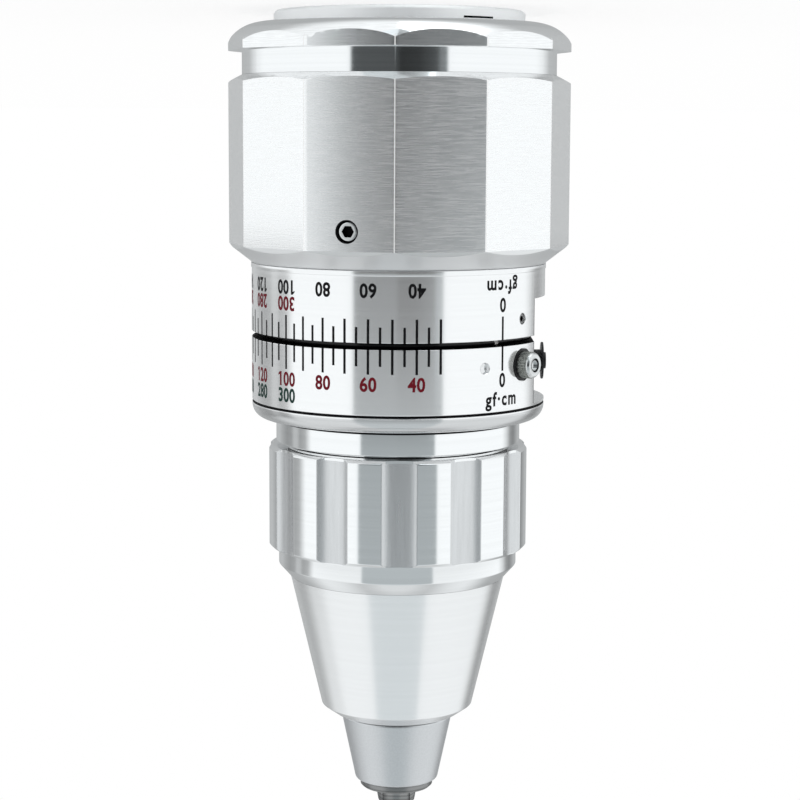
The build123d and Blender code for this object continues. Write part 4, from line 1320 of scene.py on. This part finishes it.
cap_screw = swept(
    uncut([(0, shank_end), (SHANK_RADIUS, shank_end), (SHANK_RADIUS, head_seat)])
    + [(HEAD_RADIUS, head_seat), (HEAD_RADIUS, head_top - KNURL_BELOW_TOP)]
    + uncut(soften([(HEAD_RADIUS - RIM_STEP, head_top - RIM_HEIGHT),
                    (HEAD_RADIUS - RIM_STEP, head_top - RIM_BEVEL_HEIGHT),
                    (HEAD_RADIUS - RIM_BEVEL_STEP, head_top), (socket_mouth, head_top)],
                   SMALL_ROUNDING)
            + [(HEAD_SOCKET_RADIUS, head_top - SOCKET_BEVEL_DEPTH),
               (HEAD_SOCKET_RADIUS, socket_floor), (0, socket_floor)]),
    spaced(step=KNURL_STEP), knurl_limit)
dye(cap_screw, 1, lambda radius, angle, level: radius > HEAD_RADIUS - 2 * RIM_STEP
    and level < head_top - RIM_HEIGHT)
# Painted shade: the ring at the mouth of the socket is painted black.
dye(cap_screw, 2, lambda radius, angle, level: radius < socket_mouth
    and level > head_top - SOCKET_BEVEL_DEPTH)
make("cap_screw_knurled", placed(cap_screw, cap_place), "spindle", "bright_steel",
     ["drum_cap_screw"], looks=["bright_steel", "knurled_steel", "dark_gap"])
washer = swept(soften([(WASHER_BORE, washer_seat), (WASHER_RADIUS, washer_seat),
                       (WASHER_RADIUS, head_seat), (WASHER_BORE, head_seat)], SMALL_ROUNDING),
               spaced(step=SCREW_STEP))
# Painted shade: the washer's black stands in for the shadow round the foot of the head.
make("cap_washer_painted_shade", placed(washer, cap_place), "spindle", "black_steel", ["cap_screw_washer"])
print("knurls", KNURLS, "on a head", 2 * HEAD_RADIUS, "mm across")

# %% Make the screw on the flat
FLAT_SHANK = 1.22
FLAT_SHANK_LENGTH = 6.0
FLAT_NECK = 1.6
FLAT_NECK_HEIGHT = 1.55
FLAT_HEAD = 2.7
FLAT_HEAD_HEIGHT = 0.32
FLAT_BOSS = 1.2
FLAT_BOSS_HEIGHT = 0.4

flat_shank_end = flat_distance - FLAT_SHANK_LENGTH
flat_flange = flat_distance + FLAT_NECK_HEIGHT
flat_top = flat_flange + FLAT_HEAD_HEIGHT
boss_end = flat_top + FLAT_BOSS_HEIGHT
flat_screw = swept(
    [(0, flat_shank_end), (FLAT_SHANK, flat_shank_end), (FLAT_SHANK, flat_distance)]
    + soften([(FLAT_NECK, flat_distance), (FLAT_NECK, flat_flange), (FLAT_HEAD, flat_flange),
              (FLAT_HEAD, flat_top), (FLAT_BOSS, flat_top), (FLAT_BOSS, boss_end), (0, boss_end)],
             SMALL_ROUNDING), spaced(step=SCREW_STEP))
make("flat_screw_flanged", placed(flat_screw, flat_place), "spindle", "black_steel",
     ["drum_flat_screw"])
print("the flat's screw stands", round(boss_end - flat_distance, 2), "mm off the flat")

# %% [markdown]
# ## The printed scales
#
# Both drums carry the same scale of 400 units to a turn, zero on the line that runs across the slot.
# The handle's drum is read with the chuck up and the chuck's drum with the chuck down, so that one
# of them always reads right. A mark is a thin plate of ink that stands a hair proud of the drum: a
# line is a narrow one, and a label is a letter mesh, cut into strips and wrapped round the drum.

# %% Mix the inks
MATT_INK = {"metallic": 0.0, SHINE: 0.12}
INK_ROUGHNESS = 0.5
INKS = {"black_ink": (0.004, 0.004, 0.005), "red_ink": (0.13, 0.003, 0.010),
        "green_ink": (0.008, 0.035, 0.028), "white_ink": (0.95, 0.95, 0.94)}

for ink, colour in INKS.items():
    finish(ink, colour, INK_ROUGHNESS, **MATT_INK)
print("inks:", ", ".join(INKS))

# %% Draw a line on the drum
LINE_WIDTH = 0.35
INK_PROUD = 0.012
INK_DEPTH = 0.03


def plate(mesh, front, back):
    """Closes two facing rings of four corners into a thin plate."""
    mesh.faces.new(front)
    mesh.faces.new(back[::-1])
    for here in range(4):
        after = (here + 1) % 4
        mesh.faces.new((back[here], back[after], front[after], front[here]))
    bmesh.ops.recalc_face_normals(mesh, faces=mesh.faces)


def ink_line(angle, low, high):
    """A line of ink along the drum, as a thin closed plate."""
    half = math.degrees(LINE_WIDTH / 2 / drum_radius)
    mesh = bmesh.new()
    back, front = ([mesh.verts.new(polar(radius, angle + side * half, level))
                    for side, level in ((-1, low), (1, low), (1, high), (-1, high))]
                   for radius in (drum_radius - INK_DEPTH, drum_radius + INK_PROUD))
    plate(mesh, front, back)
    return mesh


print("a line of ink is", round(INK_PROUD + INK_DEPTH, 3), "mm thick")

# %% [markdown]
# Blender's own letters are a little thin and set close, so they are given weight and space. Its one
# has no flag, so a one at the front of a label gets a small plate that is as thick as a letter.

# %% Shape and wrap a label
NUMERAL_HEIGHT = 2.06
NUMERAL_NARROWING = 0.86
LETTER_WEIGHT = 0.030
LETTER_SPACING = 1.06
LETTER_DEPTH = 0.5
FLAG = [(0.02, 0.0), (-0.15, -0.13), (-0.15, -0.22), (0.02, -0.14)]
STRIP_WIDTH = 0.5


def letter_mesh(text, spacing=LETTER_SPACING):
    """The letters of a label, flat and centred."""
    curve = bpy.data.curves.new("label", "FONT")
    curve.body = text
    curve.align_x, curve.align_y = "CENTER", "CENTER"
    curve.offset = LETTER_WEIGHT
    curve.extrude = LETTER_DEPTH
    curve.space_character = spacing
    curve.resolution_u = 4
    thing = bpy.data.objects.new("label", curve)
    bpy.context.scene.collection.objects.link(thing)
    data = bpy.data.meshes.new_from_object(
        thing.evaluated_get(bpy.context.evaluated_depsgraph_get()))
    bpy.data.objects.remove(thing)
    mesh = bmesh.new()
    mesh.from_mesh(data)
    if text.startswith("1"):
        left, top = min(v.co.x for v in mesh.verts), max(v.co.y for v in mesh.verts)
        front, back = ([mesh.verts.new((left + x, top + y, depth)) for x, y in FLAG]
                       for depth in (LETTER_DEPTH, -LETTER_DEPTH))
        plate(mesh, front, back)
    return mesh


zero_rows = [vertex.co.y for vertex in letter_mesh("0").verts]
zero_middle = (max(zero_rows) + min(zero_rows)) / 2
label_scale = NUMERAL_HEIGHT / (max(zero_rows) - min(zero_rows))


def wrapped_label(text, angle, level, up, spacing=LETTER_SPACING):
    """A label wrapped round the drum at an angle and a level, with its top towards +Z or -Z."""
    mesh = letter_mesh(text, spacing)
    for vertex in mesh.verts:
        vertex.co.x *= label_scale * NUMERAL_NARROWING
        vertex.co.y = (vertex.co.y - zero_middle) * label_scale
    strips = math.ceil(max(abs(vertex.co.x) for vertex in mesh.verts) / STRIP_WIDTH)
    for strip in range(-strips, strips + 1):
        everything = mesh.verts[:] + mesh.edges[:] + mesh.faces[:]
        bmesh.ops.bisect_plane(mesh, geom=everything, plane_co=(strip * STRIP_WIDTH, 0, 0),
                               plane_no=(1, 0, 0))
    for vertex in mesh.verts:
        radius = drum_radius + (INK_PROUD if vertex.co.z > 0 else -INK_DEPTH)
        turn = math.degrees(vertex.co.x / drum_radius)
        vertex.co = polar(radius, angle + up * turn, level + up * vertex.co.y)
    return mesh


print("label scale", round(label_scale, 3))

# %% [markdown]
# A drum's scale is a list of lines and one of labels. A label has two numbers, which add up to 400,
# in the colours that go with the two ways of turning. Numbers over 300 aren't printed, and nothing is
# printed where the flat has cut the drum away.

# %% Print the scales
UNITS = 400
ZERO_ANGLE = -132.9
FIRST_LINE = 30
LINE_EVERY = 5
LONG_EVERY = 10
LABEL_EVERY = 20
FIRST_LABEL = 40
LAST_LABEL = 300
LINE_MARGIN = 1.0
LABEL_MARGIN = 3.5
UNIT_SPACING = 1.22


def print_scale(name, body, edge, up, rows, inks, line_lengths, unit_rows):
    """Prints lines and labels on a drum, from the slot's edge outwards."""
    printed = {ink: [] for ink in ("black_ink", "red_ink", "green_ink")}
    for value in [0, *range(FIRST_LINE, UNITS - FIRST_LINE + 1, LINE_EVERY)]:
        angle = ZERO_ANGLE + value * FULL_TURN / UNITS
        length = line_lengths[0 if value % LONG_EVERY == 0 else 1]
        if apart(angle, FLAT_ANGLE) > flat_half + LINE_MARGIN:
            printed["black_ink"].append(ink_line(angle, *sorted((edge, edge - up * length))))
    for value in range(FIRST_LABEL, UNITS - FIRST_LABEL + 1, LABEL_EVERY):
        angle = ZERO_ANGLE + value * FULL_TURN / UNITS
        if apart(angle, FLAT_ANGLE) < flat_half + LABEL_MARGIN:
            continue
        numbers = [(number, ink) for number, ink in zip((value, UNITS - value), inks)
                   if number <= LAST_LABEL]
        for (number, ink), row in zip(numbers, rows):
            printed[ink].append(wrapped_label(str(number), angle, edge - up * row, up))
    zero_row, unit_row = (edge - up * row for row in unit_rows)
    printed["black_ink"].append(wrapped_label("0", ZERO_ANGLE, zero_row, up))
    printed["black_ink"].append(wrapped_label("gf·cm", ZERO_ANGLE, unit_row, up, UNIT_SPACING))
    for ink, meshes in printed.items():
        if meshes:
            make(f"{name}_{ink}", joined(meshes), body, ink)
    print(name, "has", sum(len(meshes) for meshes in printed.values()), "marks")


print_scale("handle_scale", "handle", slot_base, 1, rows=(7.2, 4.9), inks=("black_ink", "red_ink"),
            line_lengths=(3.3, 2.2), unit_rows=(4.9, 7.4))
print_scale("chuck_scale", "spindle", slot_top, -1, rows=(4.8, 7.1), inks=("red_ink", "green_ink"),
            line_lengths=(3.4, 2.3), unit_rows=(4.7, 7.3))

# %% Dot the marker ring
DOT_ANGLE = -135.3
DOT_RADIUS = 0.38
DOT_PROUD = 0.03
DOT_STEP = 15.0

dot_base, dot_top = marker_radius - DOT_PROUD, marker_radius + DOT_PROUD
dot = swept([(0, dot_base), (DOT_RADIUS, dot_base), (DOT_RADIUS, dot_top), (0, dot_top)],
            spaced(step=DOT_STEP))
make("marker_dot", placed(dot, radial(DOT_ANGLE, (slot_base + slot_top) / 2)), "marker", "white_ink")
print("dot", 2 * DOT_RADIUS, "mm across")

# %% [markdown]
